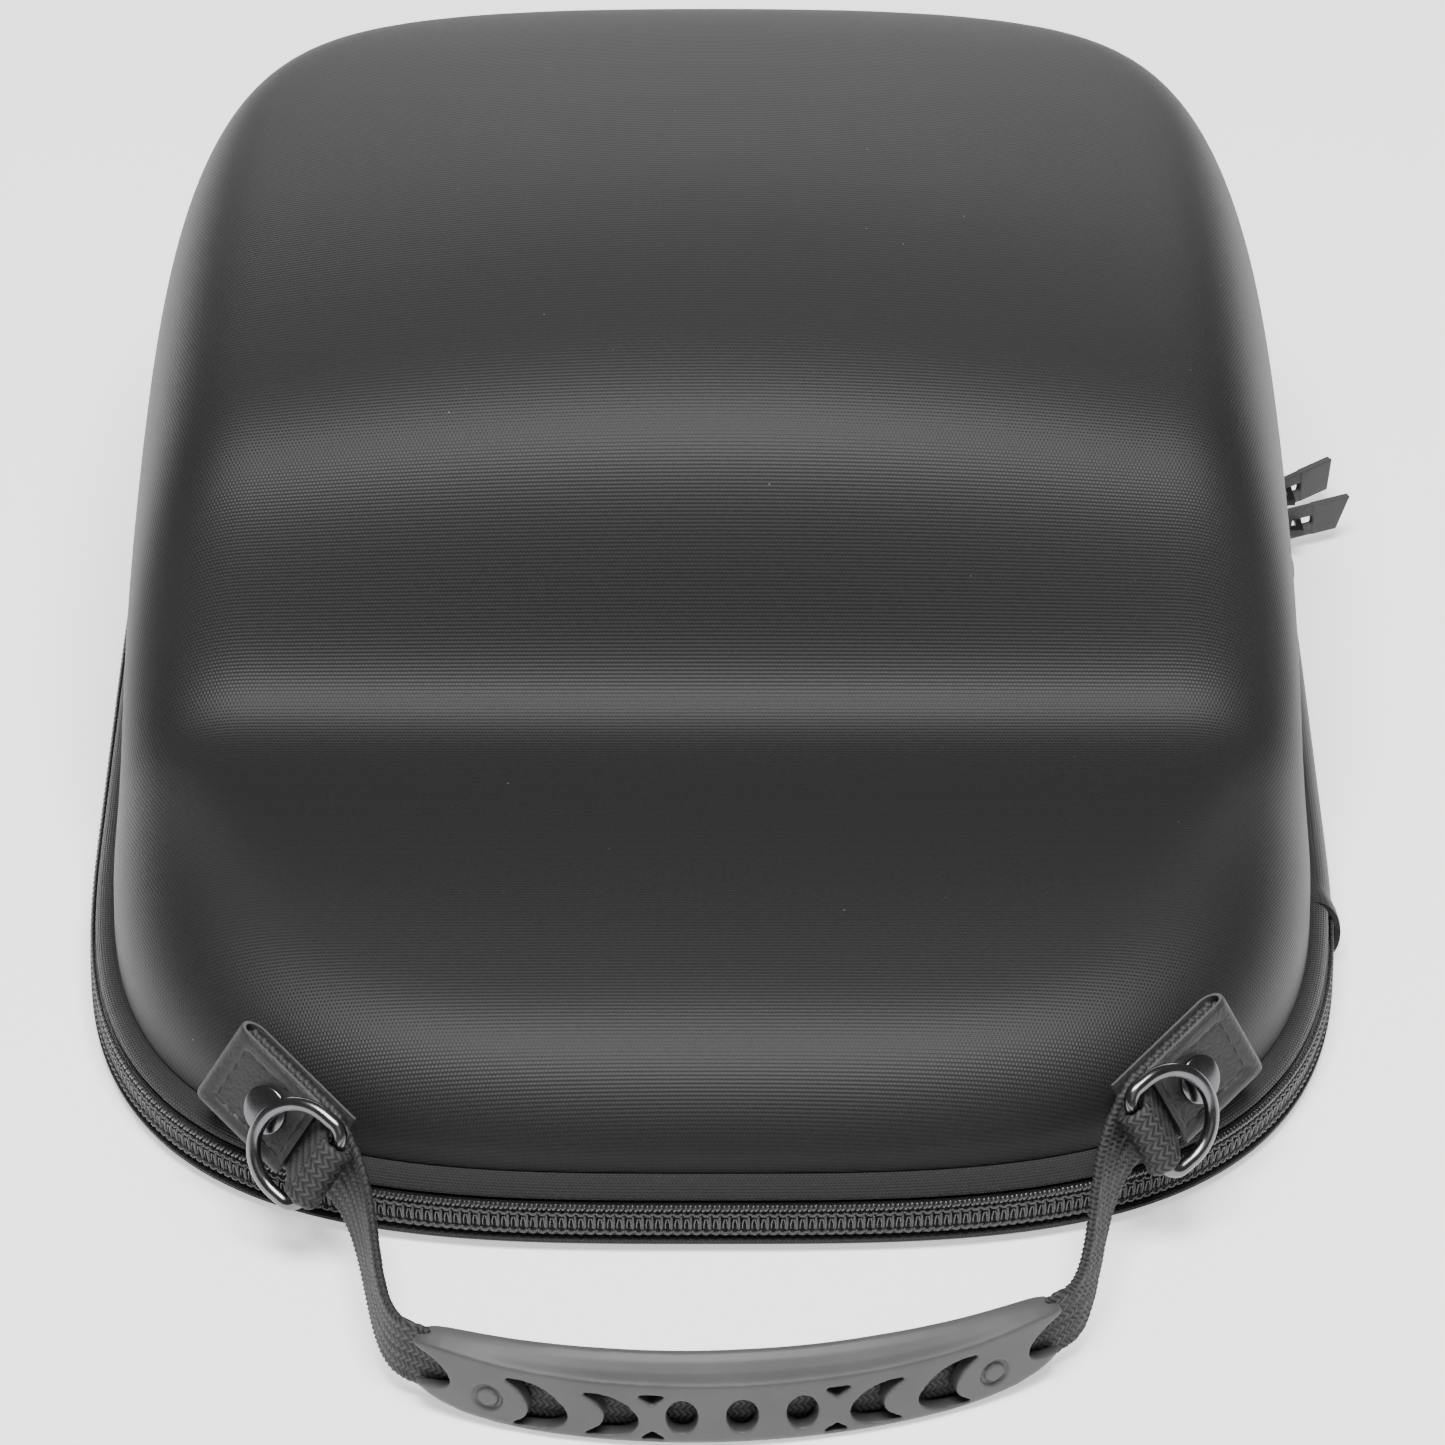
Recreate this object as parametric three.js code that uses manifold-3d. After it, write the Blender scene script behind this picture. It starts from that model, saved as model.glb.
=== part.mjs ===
// A moulded hard case that carries a baseball cap: a hollow upper shell with a low
// brim end and a tall crown end, a shallow base, a zip round three sides with a fabric
// hinge on the fourth, and a webbing handle with a rubber grip between two leather tabs.
// Millimetres. +X is right, +Y is the crown end, +Z is up, and the base stands on z = 0.
import * as THREE from 'three';
import { mergeVertices } from 'three/addons/utils/BufferGeometryUtils.js';
import Module from 'manifold-3d';

const wasm = await Module();
wasm.setup();

// Plan of the case at the foot of the upper shell
const CASE_LENGTH = 270;
const CASE_WIDTH = 204;
const WIDEST_FROM_FRONT = 104;
const FRONT_SQUARENESS = 3.3;
const BACK_SQUARENESS = 5.2;

// Upper shell
const SHELL_WALL = 3.2;
const FOOT_HEIGHT = 13;
const BRIM_HEIGHT = 39;
const CROWN_HEIGHT = 96.5;
const SHOULDER = 25;
const BRIM_SHOULDER_POWER = 2.6;
const CROWN_SHOULDER_POWER = 3.1;
const CROWN_DOME = 0.16;
const FRONT_FAN = 72;
const BACK_FAN = 75;

// Base
const BASE_WALL = 3;
const BASE_ROUND = 7;

// Zip and hinge
const ZIP_BULGE = 4.3;
const COIL_TOP = 9.3;
const COIL_FOOT = 2.9;
const COIL_THICKNESS = 1.7;
const COIL_ROUND = 0.55;
const TAPE_THICKNESS = 1;
const HINGE_FRONT = 74;
const HINGE_LENGTH = 112;
const GAP = 0.3;

// Outer face of the hinge strip, from the upper shell down, as shares of the zip's bulge
// and of the strip's height
const HINGE_FACE = [
  { out: 0.14, up: 1 },
  { out: 0.72, up: 0.82 },
  { out: 1, up: 0.585 },
  { out: 1, up: 0.207 },
  { out: 0.8, up: 0 },
];

// Zip sliders and their pulls, placed from the front of the case
const SLIDER_LENGTH = 7.5;
const SLIDER_PLATE = 1;
const SLIDER_RISE = 1;
const BAIL_REACH = 3.3;
const BAIL_BAR = 1.2;
const BAIL_LENGTH = 6.4;
const PULL_LENGTH = 12.5;
const PULL_WIDTH = 6.4;
const PULL_THICKNESS = 1.5;
const PULL_WINDOW = 4.8;
const PULL_SLANT = 2.4;
const POST = 1.1;
const PULLS = [
  { name: 'front', fromFront: CASE_LENGTH * 0.748, swing: 20 },
  { name: 'rear', fromFront: CASE_LENGTH * 0.785, swing: 32 },
];

// Leather tabs on the two front corners
const TAB_LENGTH = 24;
const TAB_OPEN = 4;
const TAB_WIDTH = 14.6;
const LEATHER = 0.9;
const TAB_TILT = 25;
const RIVET_FROM_FOLD = 12.5;
const RIVET_HEAD = 8;
const RIVET_DOME = 2.2;
const RIVET_SHANK = 3;
const RIVET_CAP = 0.8;
const RIVET_EDGE = 0.5;
const TABS = [
  { name: 'left', side: -1, place: 27, heading: 33, height: BRIM_HEIGHT * 0.5, fall: 22 },
  { name: 'right', side: 1, place: 35.3, heading: 39, height: BRIM_HEIGHT * 0.564, fall: 16 },
];

// Webbing handle, its ring keepers and the rings
const WEBBING_WIDTH = 12;
const WEBBING = 1.4;
const RING_WIRE = 2.4;
const RING_INSIDE = 14;
const RING_DEPTH = 12.6;
const RING_CORNER = 2.4;
const BAR_BEYOND_TAB = 3;
const KEEPER_END = -78;

// Rubber grip: its chord, its place in front of the case and its section
const GRIP_CHORD = 100;
const GRIP_SAG = 12;
const GRIP_REACH = 38;
const GRIP_SHIFT = 5;
const GRIP_TURN = 4.3;
const GRIP_HEIGHT = 15.6;
const GRIP_FACE = 11.5;
const GRIP_FRONT = 2.2;
const GRIP_BACK = 3.3;
const GRIP_FOOT = 0.3;
const GRIP_ROUND = 0.6;
const STRAP_IN_GRIP = 1.55;
const STRAP_RISE = 0.45;

// Grip section along its length: shares of the height, front and back
const GRIP_ROWS = [
  { along: -1, top: 0.9, front: 0.5, back: 0.86 },
  { along: -0.94, top: 0.96, front: 0.72, back: 0.94 },
  { along: -0.8, top: 1, front: 0.9, back: 1 },
  { along: -0.5, top: 1, front: 1, back: 1 },
  { along: -0.25, top: 1, front: 1, back: 1 },
  { along: 0, top: 1, front: 1, back: 1 },
  { along: 0.25, top: 1, front: 1, back: 1 },
  { along: 0.5, top: 1, front: 1, back: 1 },
  { along: 0.8, top: 1, front: 0.9, back: 1 },
  { along: 0.94, top: 0.96, front: 0.72, back: 0.94 },
  { along: 1, top: 0.9, front: 0.5, back: 0.86 },
];

// Cut-outs of the grip's face, placed from its middle: windows, cross shapes, crescents,
// a boss in a groove and the mouth that the strap comes out of. Outlines are rows of
// places along the grip, away from the middle, and up.
const FACE_RISE = 0.51;
const WINDOW = { pitch: 9.25, width: 4.9, height: 6.6 };
const CROSS = { from: 14.3, width: 4.8, height: 2, apart: 8.9 };
const CRESCENTS = [
  {
    from: 32,
    outline: [
      [5.5, 10.5], [2.3, 10.8], [-1.2, 9.6], [-3.8, 7], [-5, 4.8], [-4.4, 3.2], [-2.5, 1.9],
      [1, 1.4], [4.8, 1.5], [2.6, 2.5], [1.3, 4.2], [1.5, 6.2], [3.1, 8.9],
    ],
  },
  {
    from: 21,
    outline: [
      [4.6, 9.8], [1.2, 10], [-2.2, 8.6], [-4.3, 6.4], [-4.9, 4.6], [-4, 2.7], [-1.8, 1.8],
      [1.3, 1.6], [4.4, 1.5], [1.5, 2.9], [0.4, 5], [0.8, 6.7], [2.4, 8.6],
    ],
  },
];
const BOSS = { from: 39.9, radius: 2.5, button: 1.65, floor: 1.3 };
const MOUTH = [
  [5, 14], [0.6, 12.5], [-2.8, 11.3], [-5.2, 9.2], [-5.9, 7.4], [-5.6, 6.2], [-3.9, 5.4],
  [-0.9, 5], [5, 5],
];

// How far the strap keeps its direction at each end of a free run, as shares of the run
const TAB_PULL = 0.3;
const GRIP_PULL = 0.2;
const STRAP_TWIST = 0.3;

// Materials
const fabric = () => new THREE.MeshStandardMaterial({ color: 0x3b3b3d, roughness: 0.85, metalness: 0 });
const tape = () => new THREE.MeshStandardMaterial({ color: 0x2c2c2e, roughness: 0.9, metalness: 0 });
const coilPlastic = () => new THREE.MeshStandardMaterial({ color: 0x2a2a2c, roughness: 0.4, metalness: 0 });
const leather = () => new THREE.MeshStandardMaterial({ color: 0x4a4a4c, roughness: 0.55, metalness: 0 });
const blackMetal = () => new THREE.MeshStandardMaterial({ color: 0x1c1c1e, roughness: 0.25, metalness: 1 });
const rubber = () => new THREE.MeshStandardMaterial({ color: 0x6e6e70, roughness: 0.6, metalness: 0 });

const rad = THREE.MathUtils.degToRad;
const lerp = THREE.MathUtils.lerp;
const clamp = THREE.MathUtils.clamp;
const vec = (x, y, z) => new THREE.Vector3(x, y, z);
const part = new THREE.Group();

// Closed meshes: positions only, shared corners merged, flat triangles dropped, faces outward
function closed(geometry) {
  const bare = new THREE.BufferGeometry();
  bare.setAttribute('position', geometry.getAttribute('position'));
  bare.setIndex(geometry.index);
  const merged = mergeVertices(bare, 1e-3);
  const index = Array.from(merged.index.array);
  const position = merged.getAttribute('position');
  const kept = [];
  let volume = 0;
  const corner = (i) => vec().fromBufferAttribute(position, i);
  for (let i = 0; i < index.length; i += 3) {
    const [a, b, c] = index.slice(i, i + 3);
    if (a === b || b === c || c === a) continue;
    kept.push(a, b, c);
    volume += corner(a).dot(corner(b).cross(corner(c)));
  }
  if (volume < 0) {
    for (let i = 0; i < kept.length; i += 3) {
      [kept[i + 1], kept[i + 2]] = [kept[i + 2], kept[i + 1]];
    }
  }
  merged.setIndex(kept);
  return merged;
}

function solid(geometry) {
  const shape = closed(geometry);
  return new wasm.Manifold(new wasm.Mesh({
    numProp: 3,
    vertProperties: new Float32Array(shape.getAttribute('position').array),
    triVerts: new Uint32Array(shape.index.array),
  }));
}

function fromSolid(body) {
  const mesh = body.getMesh();
  const geometry = new THREE.BufferGeometry();
  geometry.setAttribute('position', new THREE.BufferAttribute(mesh.vertProperties, 3));
  geometry.setIndex(new THREE.BufferAttribute(mesh.triVerts, 1));
  return geometry;
}

function add(name, geometry, material) {
  const mesh = new THREE.Mesh(closed(geometry), material);
  mesh.name = name;
  part.add(mesh);
  return mesh;
}

// A skin over rings of equally many points, with flat ends or joined round into a loop
function skin(rings, round = false) {
  const count = rings[0].length;
  const points = rings.flat();
  const faces = [];
  const spans = round ? rings.length : rings.length - 1;
  for (let r = 0; r < spans; r += 1) {
    const next = ((r + 1) % rings.length) * count;
    for (let i = 0; i < count; i += 1) {
      const j = (i + 1) % count;
      faces.push(r * count + i, r * count + j, next + j);
      faces.push(r * count + i, next + j, next + i);
    }
  }
  if (!round) {
    faces.push(...endCap(rings[0], 0, true));
    faces.push(...endCap(rings[rings.length - 1], (rings.length - 1) * count, false));
  }
  const geometry = new THREE.BufferGeometry();
  const flat = points.flatMap((p) => [p.x, p.y, p.z]);
  geometry.setAttribute('position', new THREE.Float32BufferAttribute(flat, 3));
  geometry.setIndex(faces);
  return geometry;
}

// Triangles over one flat ring of points
function endCap(ring, first, reversed) {
  const normal = vec(0, 0, 0);
  ring.forEach((p, i) => normal.add(p.clone().cross(ring[(i + 1) % ring.length])));
  normal.normalize();
  const across = ring[1].clone().sub(ring[0]).normalize();
  const up = normal.clone().cross(across);
  const outline = ring.map((p) => new THREE.Vector2(p.dot(across), p.dot(up)));
  const faces = THREE.ShapeUtils.triangulateShape(outline, []);
  return faces.flatMap(([a, b, c]) => (reversed ? [a, c, b] : [a, b, c])).map((i) => first + i);
}

// Plan outline: superellipse quarters that meet at the widest place
const FRONT = -CASE_LENGTH / 2;
const WIDEST = FRONT + WIDEST_FROM_FRONT;
function outlinePoint(turn) {
  const ahead = Math.sin(turn) < 0;
  const power = ahead ? FRONT_SQUARENESS : BACK_SQUARENESS;
  const reach = ahead ? WIDEST_FROM_FRONT : CASE_LENGTH - WIDEST_FROM_FRONT;
  const x = Math.sign(Math.cos(turn)) * (CASE_WIDTH / 2) * Math.abs(Math.cos(turn)) ** (2 / power);
  const y = WIDEST + Math.sign(Math.sin(turn)) * reach * Math.abs(Math.sin(turn)) ** (2 / power);
  return new THREE.Vector2(x, y);
}

// Stations round the outline from the front middle, anticlockwise, closer together where
// the brim rises into the crown; the left half mirrors the right
const HALF_STATIONS = 38;
const FINE_ZONE = { from: 0.3, to: 0.52, density: 2 };
function outlineStations() {
  const samples = 1200;
  const dense = Array.from(
    { length: samples + 1 },
    (_, i) => outlinePoint(Math.PI * (i / samples - 0.5)),
  );
  const weight = [0];
  for (let i = 1; i <= samples; i += 1) {
    const share = (dense[i].y - FRONT) / CASE_LENGTH;
    const fine = share > FINE_ZONE.from && share < FINE_ZONE.to;
    weight.push(weight[i - 1] + dense[i].distanceTo(dense[i - 1]) * (fine ? FINE_ZONE.density : 1));
  }
  const right = [{ x: 0, y: FRONT, outX: 0, outY: -1 }];
  let at = 0;
  for (let k = 1; k < HALF_STATIONS; k += 1) {
    const goal = (weight[samples] * k) / HALF_STATIONS;
    while (weight[at + 1] < goal) at += 1;
    const point = dense[at].clone().lerp(dense[at + 1], (goal - weight[at]) / (weight[at + 1] - weight[at]));
    const along = dense[at + 1].clone().sub(dense[at]).normalize();
    right.push({ x: point.x, y: point.y, outX: along.y, outY: -along.x });
  }
  const back = { x: 0, y: FRONT + CASE_LENGTH, outX: 0, outY: 1 };
  const mirrored = (station) => ({ ...station, x: -station.x, outX: -station.outX });
  const left = right.slice(1).reverse().map(mirrored);
  return [...right, back, ...left];
}
const stations = outlineStations();

// Height of the upper shell along its middle: shares of the case length, and of the brim
// and crown heights, as the control rows of a smooth curve
const SIDE_PROFILE = [
  { along: 0, brim: 0.667, crown: 0 },
  { along: 0.03, brim: 0.795, crown: 0 },
  { along: 0.104, brim: 0.923, crown: 0 },
  { along: 0.189, brim: 1, crown: 0 },
  { along: 0.274, brim: 0.98, crown: 0 },
  { along: 0.33, brim: 0.99, crown: 0 },
  { along: 0.367, brim: 0.6, crown: 0.265 },
  { along: 0.404, brim: 0.2, crown: 0.655 },
  { along: 0.452, brim: 0, crown: 0.87 },
  { along: 0.537, brim: 0, crown: 0.948 },
  { along: 0.663, brim: 0, crown: 1 },
  { along: 0.848, brim: 0, crown: 0.974 },
  { along: 0.933, brim: 0, crown: 0.922 },
  { along: 1, brim: 0, crown: 0.83 },
];
function profileCurve() {
  const rows = SIDE_PROFILE.map((row) => new THREE.Vector2(
    FRONT + row.along * CASE_LENGTH,
    row.brim * BRIM_HEIGHT + row.crown * CROWN_HEIGHT,
  ));
  const last = rows[rows.length - 1];
  const padded = [rows[0], rows[0], ...rows, last, last];
  const curve = [];
  const steps = 12;
  for (let i = 0; i + 3 < padded.length; i += 1) {
    for (let k = 0; k < steps; k += 1) {
      const t = k / steps;
      const blend = [(1 - t) ** 3, 3 * t ** 3 - 6 * t * t + 4, -3 * t ** 3 + 3 * t * t + 3 * t + 1, t ** 3];
      const point = new THREE.Vector2();
      blend.forEach((w, j) => point.addScaledVector(padded[i + j], w / 6));
      curve.push(point);
    }
  }
  return curve;
}
const profile = profileCurve();
function topHeight(y) {
  let i = 0;
  while (i < profile.length - 2 && profile[i + 1].x < y) i += 1;
  const share = clamp((y - profile[i].x) / (profile[i + 1].x - profile[i].x), 0, 1);
  return lerp(profile[i].y, profile[i + 1].y, share);
}

// A point of the upper shell: share 0 on the outline, 1 on the middle line, and depth
// into the wall for its inner face
function shellPoint(station, share, depth) {
  const footX = station.x - station.outX * depth;
  const footY = station.y - station.outY * depth;
  const middleY = clamp(footY, FRONT + FRONT_FAN, FRONT + CASE_LENGTH - BACK_FAN);
  const x = footX * (1 - share);
  const y = lerp(footY, middleY, share);
  const slope = (topHeight(y + 1) - topHeight(y - 1)) / 2;
  const top = topHeight(y) - depth * Math.hypot(1, slope);
  const crown = clamp((topHeight(y) - BRIM_HEIGHT) / (CROWN_HEIGHT - BRIM_HEIGHT), 0, 1);
  const power = lerp(BRIM_SHOULDER_POWER, CROWN_SHOULDER_POWER, crown);
  const inward = share * Math.hypot(footX, footY - middleY);
  const fall = 1 - clamp(inward / (SHOULDER - depth), 0, 1);
  const rise = (1 - fall ** power) ** (1 / power);
  const dome = 1 - CROWN_DOME * crown * (x / (CASE_WIDTH / 2)) ** 2;
  return vec(x, y, FOOT_HEIGHT + (top - FOOT_HEIGHT) * rise * dome);
}

// Rings from the outline to the middle line, close together on the shoulder
function ringShares(count, growth) {
  const shares = [0];
  for (let i = 0; i < count; i += 1) shares.push(shares[i] + growth ** i);
  return shares.map((s) => s / shares[count]);
}

const OUTER_RINGS = ringShares(12, 1.28);
const INNER_RINGS = ringShares(7, 1.55);

function shellGeometry() {
  const outer = OUTER_RINGS.map((s) => stations.map((station) => shellPoint(station, s, 0)));
  const inner = INNER_RINGS.map((s) => stations.map((station) => shellPoint(station, s, SHELL_WALL)));
  return zipMiddle([...outer.reverse(), ...inner]);
}

// A skin whose first and last rings have closed up onto the middle line
function zipMiddle(rings) {
  const count = rings[0].length;
  const faces = [];
  for (let r = 0; r + 1 < rings.length; r += 1) {
    for (let i = 0; i < count; i += 1) {
      const j = (i + 1) % count;
      faces.push(r * count + i, r * count + j, (r + 1) * count + j);
      faces.push(r * count + i, (r + 1) * count + j, (r + 1) * count + i);
    }
  }
  const geometry = new THREE.BufferGeometry();
  const flat = rings.flat().flatMap((p) => [p.x, p.y, p.z]);
  geometry.setAttribute('position', new THREE.Float32BufferAttribute(flat, 3));
  geometry.setIndex(faces);
  return geometry;
}

// Base: rows of its section, out from the outline and up, with the share of the way to
// the middle line for the two flat faces
const RIM_TOP = FOOT_HEIGHT - GAP - TAPE_THICKNESS - GAP;
const BASE_SECTION = [
  { inset: BASE_ROUND, up: 0, share: 1 },
  { inset: BASE_ROUND, up: 0, share: 0 },
  { inset: BASE_ROUND * 0.4, up: BASE_ROUND * 0.12, share: 0 },
  { inset: BASE_ROUND * 0.1, up: BASE_ROUND * 0.4, share: 0 },
  { inset: 0, up: BASE_ROUND, share: 0 },
  { inset: 0, up: RIM_TOP, share: 0 },
  { inset: BASE_WALL, up: RIM_TOP, share: 0 },
  { inset: BASE_WALL, up: BASE_ROUND, share: 0 },
  { inset: BASE_WALL + BASE_ROUND * 0.4, up: BASE_WALL + BASE_ROUND * 0.12, share: 0 },
  { inset: BASE_WALL + BASE_ROUND, up: BASE_WALL, share: 0 },
  { inset: BASE_WALL + BASE_ROUND, up: BASE_WALL, share: 1 },
];
function baseGeometry() {
  return zipMiddle(BASE_SECTION.map((row) => stations.map((station) => {
    const x = station.x - station.outX * row.inset;
    const y = station.y - station.outY * row.inset;
    const middleY = clamp(y, FRONT + FRONT_FAN, FRONT + CASE_LENGTH - BACK_FAN);
    return vec(x * (1 - row.share), lerp(y, middleY, row.share), row.up);
  })));
}

// Strips that run round the outline between two places on the right-hand side
const hingeFrom = FRONT + HINGE_FRONT;
const hingeTo = hingeFrom + HINGE_LENGTH;
function edgeStation(y) {
  let best = Math.PI / 2;
  let low = -Math.PI / 2;
  let high = best;
  for (let i = 0; i < 60; i += 1) {
    best = (low + high) / 2;
    if (outlinePoint(best).y < y) low = best;
    else high = best;
  }
  const point = outlinePoint(best);
  const step = 1e-3;
  const along = outlinePoint(best + step).sub(outlinePoint(best - step)).normalize();
  return { x: point.x, y: point.y, outX: along.y, outY: -along.x };
}
const onHinge = (station, margin) => station.x > 0
  && station.y > hingeFrom - margin && station.y < hingeTo + margin;
const firstHinge = stations.findIndex((station) => onHinge(station, 0));
const pastHinge = stations.findIndex((station, i) => i > firstHinge && !onHinge(station, 0));
const STEP_MARGIN = 2;
const zipStations = [
  edgeStation(hingeTo + GAP),
  ...[...stations.slice(pastHinge), ...stations.slice(0, firstHinge)]
    .filter((station) => !onHinge(station, STEP_MARGIN)),
  edgeStation(hingeFrom - GAP),
];
const hingeStations = [
  edgeStation(hingeFrom),
  ...stations.slice(firstHinge, pastHinge).filter((station) => station.y > hingeFrom + STEP_MARGIN
    && station.y < hingeTo - STEP_MARGIN),
  edgeStation(hingeTo),
];
function headingStation(heading) {
  let low = -Math.PI / 2;
  let high = 0;
  for (let i = 0; i < 40; i += 1) {
    const y = outlinePoint((low + high) / 2).y;
    const station = edgeStation(y);
    if (Math.atan2(station.outX, -station.outY) < heading) low = (low + high) / 2;
    else high = (low + high) / 2;
  }
  return edgeStation(outlinePoint(low).y);
}
function strip(path, section) {
  return skin(path.map((station) => section.map(([out, up]) => vec(
    station.x + station.outX * out,
    station.y + station.outY * out,
    up,
  ))));
}
const tuck = SHELL_WALL - GAP;
const tapeTop = FOOT_HEIGHT - GAP;
const tapeFoot = COIL_FOOT - GAP - TAPE_THICKNESS;
const coilBack = ZIP_BULGE - COIL_THICKNESS;
const slanted = TAPE_THICKNESS * Math.SQRT1_2;
const TAPE_UPPER = [
  [-tuck, tapeTop],
  [TAPE_THICKNESS * (Math.SQRT2 - 1), tapeTop],
  [coilBack + slanted, COIL_TOP + GAP + slanted],
  [coilBack, COIL_TOP + GAP],
  [0, tapeTop - TAPE_THICKNESS],
  [-tuck, tapeTop - TAPE_THICKNESS],
];
const COIL = [
  [coilBack, COIL_FOOT + COIL_ROUND],
  [coilBack + COIL_ROUND, COIL_FOOT],
  [ZIP_BULGE - COIL_ROUND, COIL_FOOT],
  [ZIP_BULGE, COIL_FOOT + COIL_ROUND],
  [ZIP_BULGE, COIL_TOP - 2 * COIL_ROUND],
  [ZIP_BULGE - COIL_ROUND, COIL_TOP],
  [coilBack, COIL_TOP],
];
const TAPE_LOWER = [
  [GAP, tapeFoot + TAPE_THICKNESS],
  [GAP, tapeFoot],
  [ZIP_BULGE + GAP / 2, tapeFoot],
  [ZIP_BULGE + GAP / 2, tapeFoot + TAPE_THICKNESS],
];
function hingeSection() {
  const outer = [
    [-tuck, tapeTop],
    ...HINGE_FACE.map((row) => [ZIP_BULGE * row.out, lerp(tapeFoot, tapeTop, row.up)]),
    [GAP, tapeFoot],
  ];
  const inner = outer.map(([out, up], i) => {
    const before = outer[Math.max(i - 1, 0)];
    const after = outer[Math.min(i + 1, outer.length - 1)];
    const way = new THREE.Vector2(after[0] - before[0], after[1] - before[1]).normalize();
    return [out + way.y * TAPE_THICKNESS, up - way.x * TAPE_THICKNESS];
  });
  return [...outer, ...inner.reverse()];
}

// Frame of a tab: its rivet, the way along it (towards the case's front middle), across
// it (up the shell) and out of it, set a gap clear of the shell's bulge
const shellSamples = OUTER_RINGS.flatMap((s) => stations.map((station) => shellPoint(station, s, 0)));
function tabFrame(tab) {
  const heading = rad(tab.heading);
  const tilt = rad(TAB_TILT);
  const facing = vec(tab.side * Math.sin(heading), -Math.cos(heading), 0);
  const out = facing.multiplyScalar(Math.cos(tilt)).add(vec(0, 0, Math.sin(tilt)));
  const level = vec(-tab.side * Math.cos(heading), -Math.sin(heading), 0);
  const upward = out.clone().cross(level).multiplyScalar(-tab.side);
  const fall = rad(tab.fall);
  const along = level.clone().multiplyScalar(Math.cos(fall)).addScaledVector(upward, -Math.sin(fall));
  const across = upward.clone().multiplyScalar(Math.cos(fall)).addScaledVector(level, Math.sin(fall));
  const corner = headingStation(rad(tab.place));
  const middle = vec(tab.side * corner.x, corner.y, tab.height);
  const near = shellSamples.filter((p) => p.distanceTo(middle) < TAB_LENGTH);
  const seat = Math.max(...near.map((p) => p.dot(out)));
  middle.addScaledVector(out, seat + GAP - middle.dot(out));
  const at = (a, b, c) => middle.clone().addScaledVector(along, a - RIVET_FROM_FOLD)
    .addScaledVector(across, b).addScaledVector(out, c);
  return { ...tab, along, across, out, at };
}

// Layers of a tab, out from the shell: leather, handle webbing, keeper webbing, leather
const strapLayer = LEATHER + GAP + WEBBING / 2;
const keeperLayer = strapLayer + WEBBING + GAP;
const topLeather = keeperLayer + WEBBING / 2 + GAP;
const tabTop = topLeather + LEATHER;
const headUnder = tabTop + GAP;
const strapFree = TAB_LENGTH + TAPE_THICKNESS;
const barAlong = TAB_LENGTH + BAR_BEYOND_TAB;
const keeperInside = RING_WIRE / 2 + GAP;
const barOut = headUnder + RIVET_DOME;

// A band of even thickness across the tab's width, along a path of [along, out] places
function tabBand(frame, path, width, thickness) {
  const rings = path.map(([a, c], i) => {
    const before = path[Math.max(i - 1, 0)];
    const after = path[Math.min(i + 1, path.length - 1)];
    const way = new THREE.Vector2(after[0] - before[0], after[1] - before[1]).normalize();
    const corners = [[1, 1], [1, -1], [-1, -1], [-1, 1]];
    return corners.map(([s, w]) => frame.at(
      a - (s * way.y * thickness) / 2,
      (w * width) / 2,
      c + (s * way.x * thickness) / 2,
    ));
  });
  return skin(rings);
}

function foldPath() {
  const path = [[TAB_LENGTH, LEATHER / 2], [TAB_LENGTH / 2, LEATHER / 2]];
  const radius = (tabTop - LEATHER) / 2;
  const turns = 8;
  for (let i = 0; i <= turns; i += 1) {
    const turn = -Math.PI / 2 - (Math.PI * i) / turns;
    path.push([radius + radius * Math.cos(turn), tabTop / 2 + radius * Math.sin(turn)]);
  }
  path.push([TAB_LENGTH / 2, tabTop - LEATHER / 2], [TAB_LENGTH - TAB_OPEN, tabTop - LEATHER / 2]);
  return path;
}

function keeperPath() {
  const radius = keeperInside + WEBBING / 2;
  const start = (tabTop - LEATHER) / 2 + GAP;
  const bend = TAB_LENGTH - TAB_OPEN + 2 * GAP;
  const toBar = Math.atan2(barOut - keeperLayer, barAlong - bend);
  const from = toBar + Math.asin(radius / Math.hypot(barOut - keeperLayer, barAlong - bend)) + Math.PI / 2;
  const turns = 10;
  const path = [[start, keeperLayer], [bend, keeperLayer]];
  for (let i = 0; i <= turns; i += 1) {
    const turn = lerp(from, rad(KEEPER_END), i / turns);
    path.push([barAlong + radius * Math.cos(turn), barOut + radius * Math.sin(turn)]);
  }
  return path;
}

// Rivet: a domed head and a shank that ends inside the shell's wall
const SHANK_SIDES = 16;
function rivetShank(frame, radius, from, to) {
  const ring = (c) => Array.from({ length: SHANK_SIDES }, (_, i) => {
    const turn = (2 * Math.PI * i) / SHANK_SIDES;
    return frame.at(RIVET_FROM_FOLD + radius * Math.cos(turn), radius * Math.sin(turn), c);
  });
  return skin([ring(from), ring(to)]);
}

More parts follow.
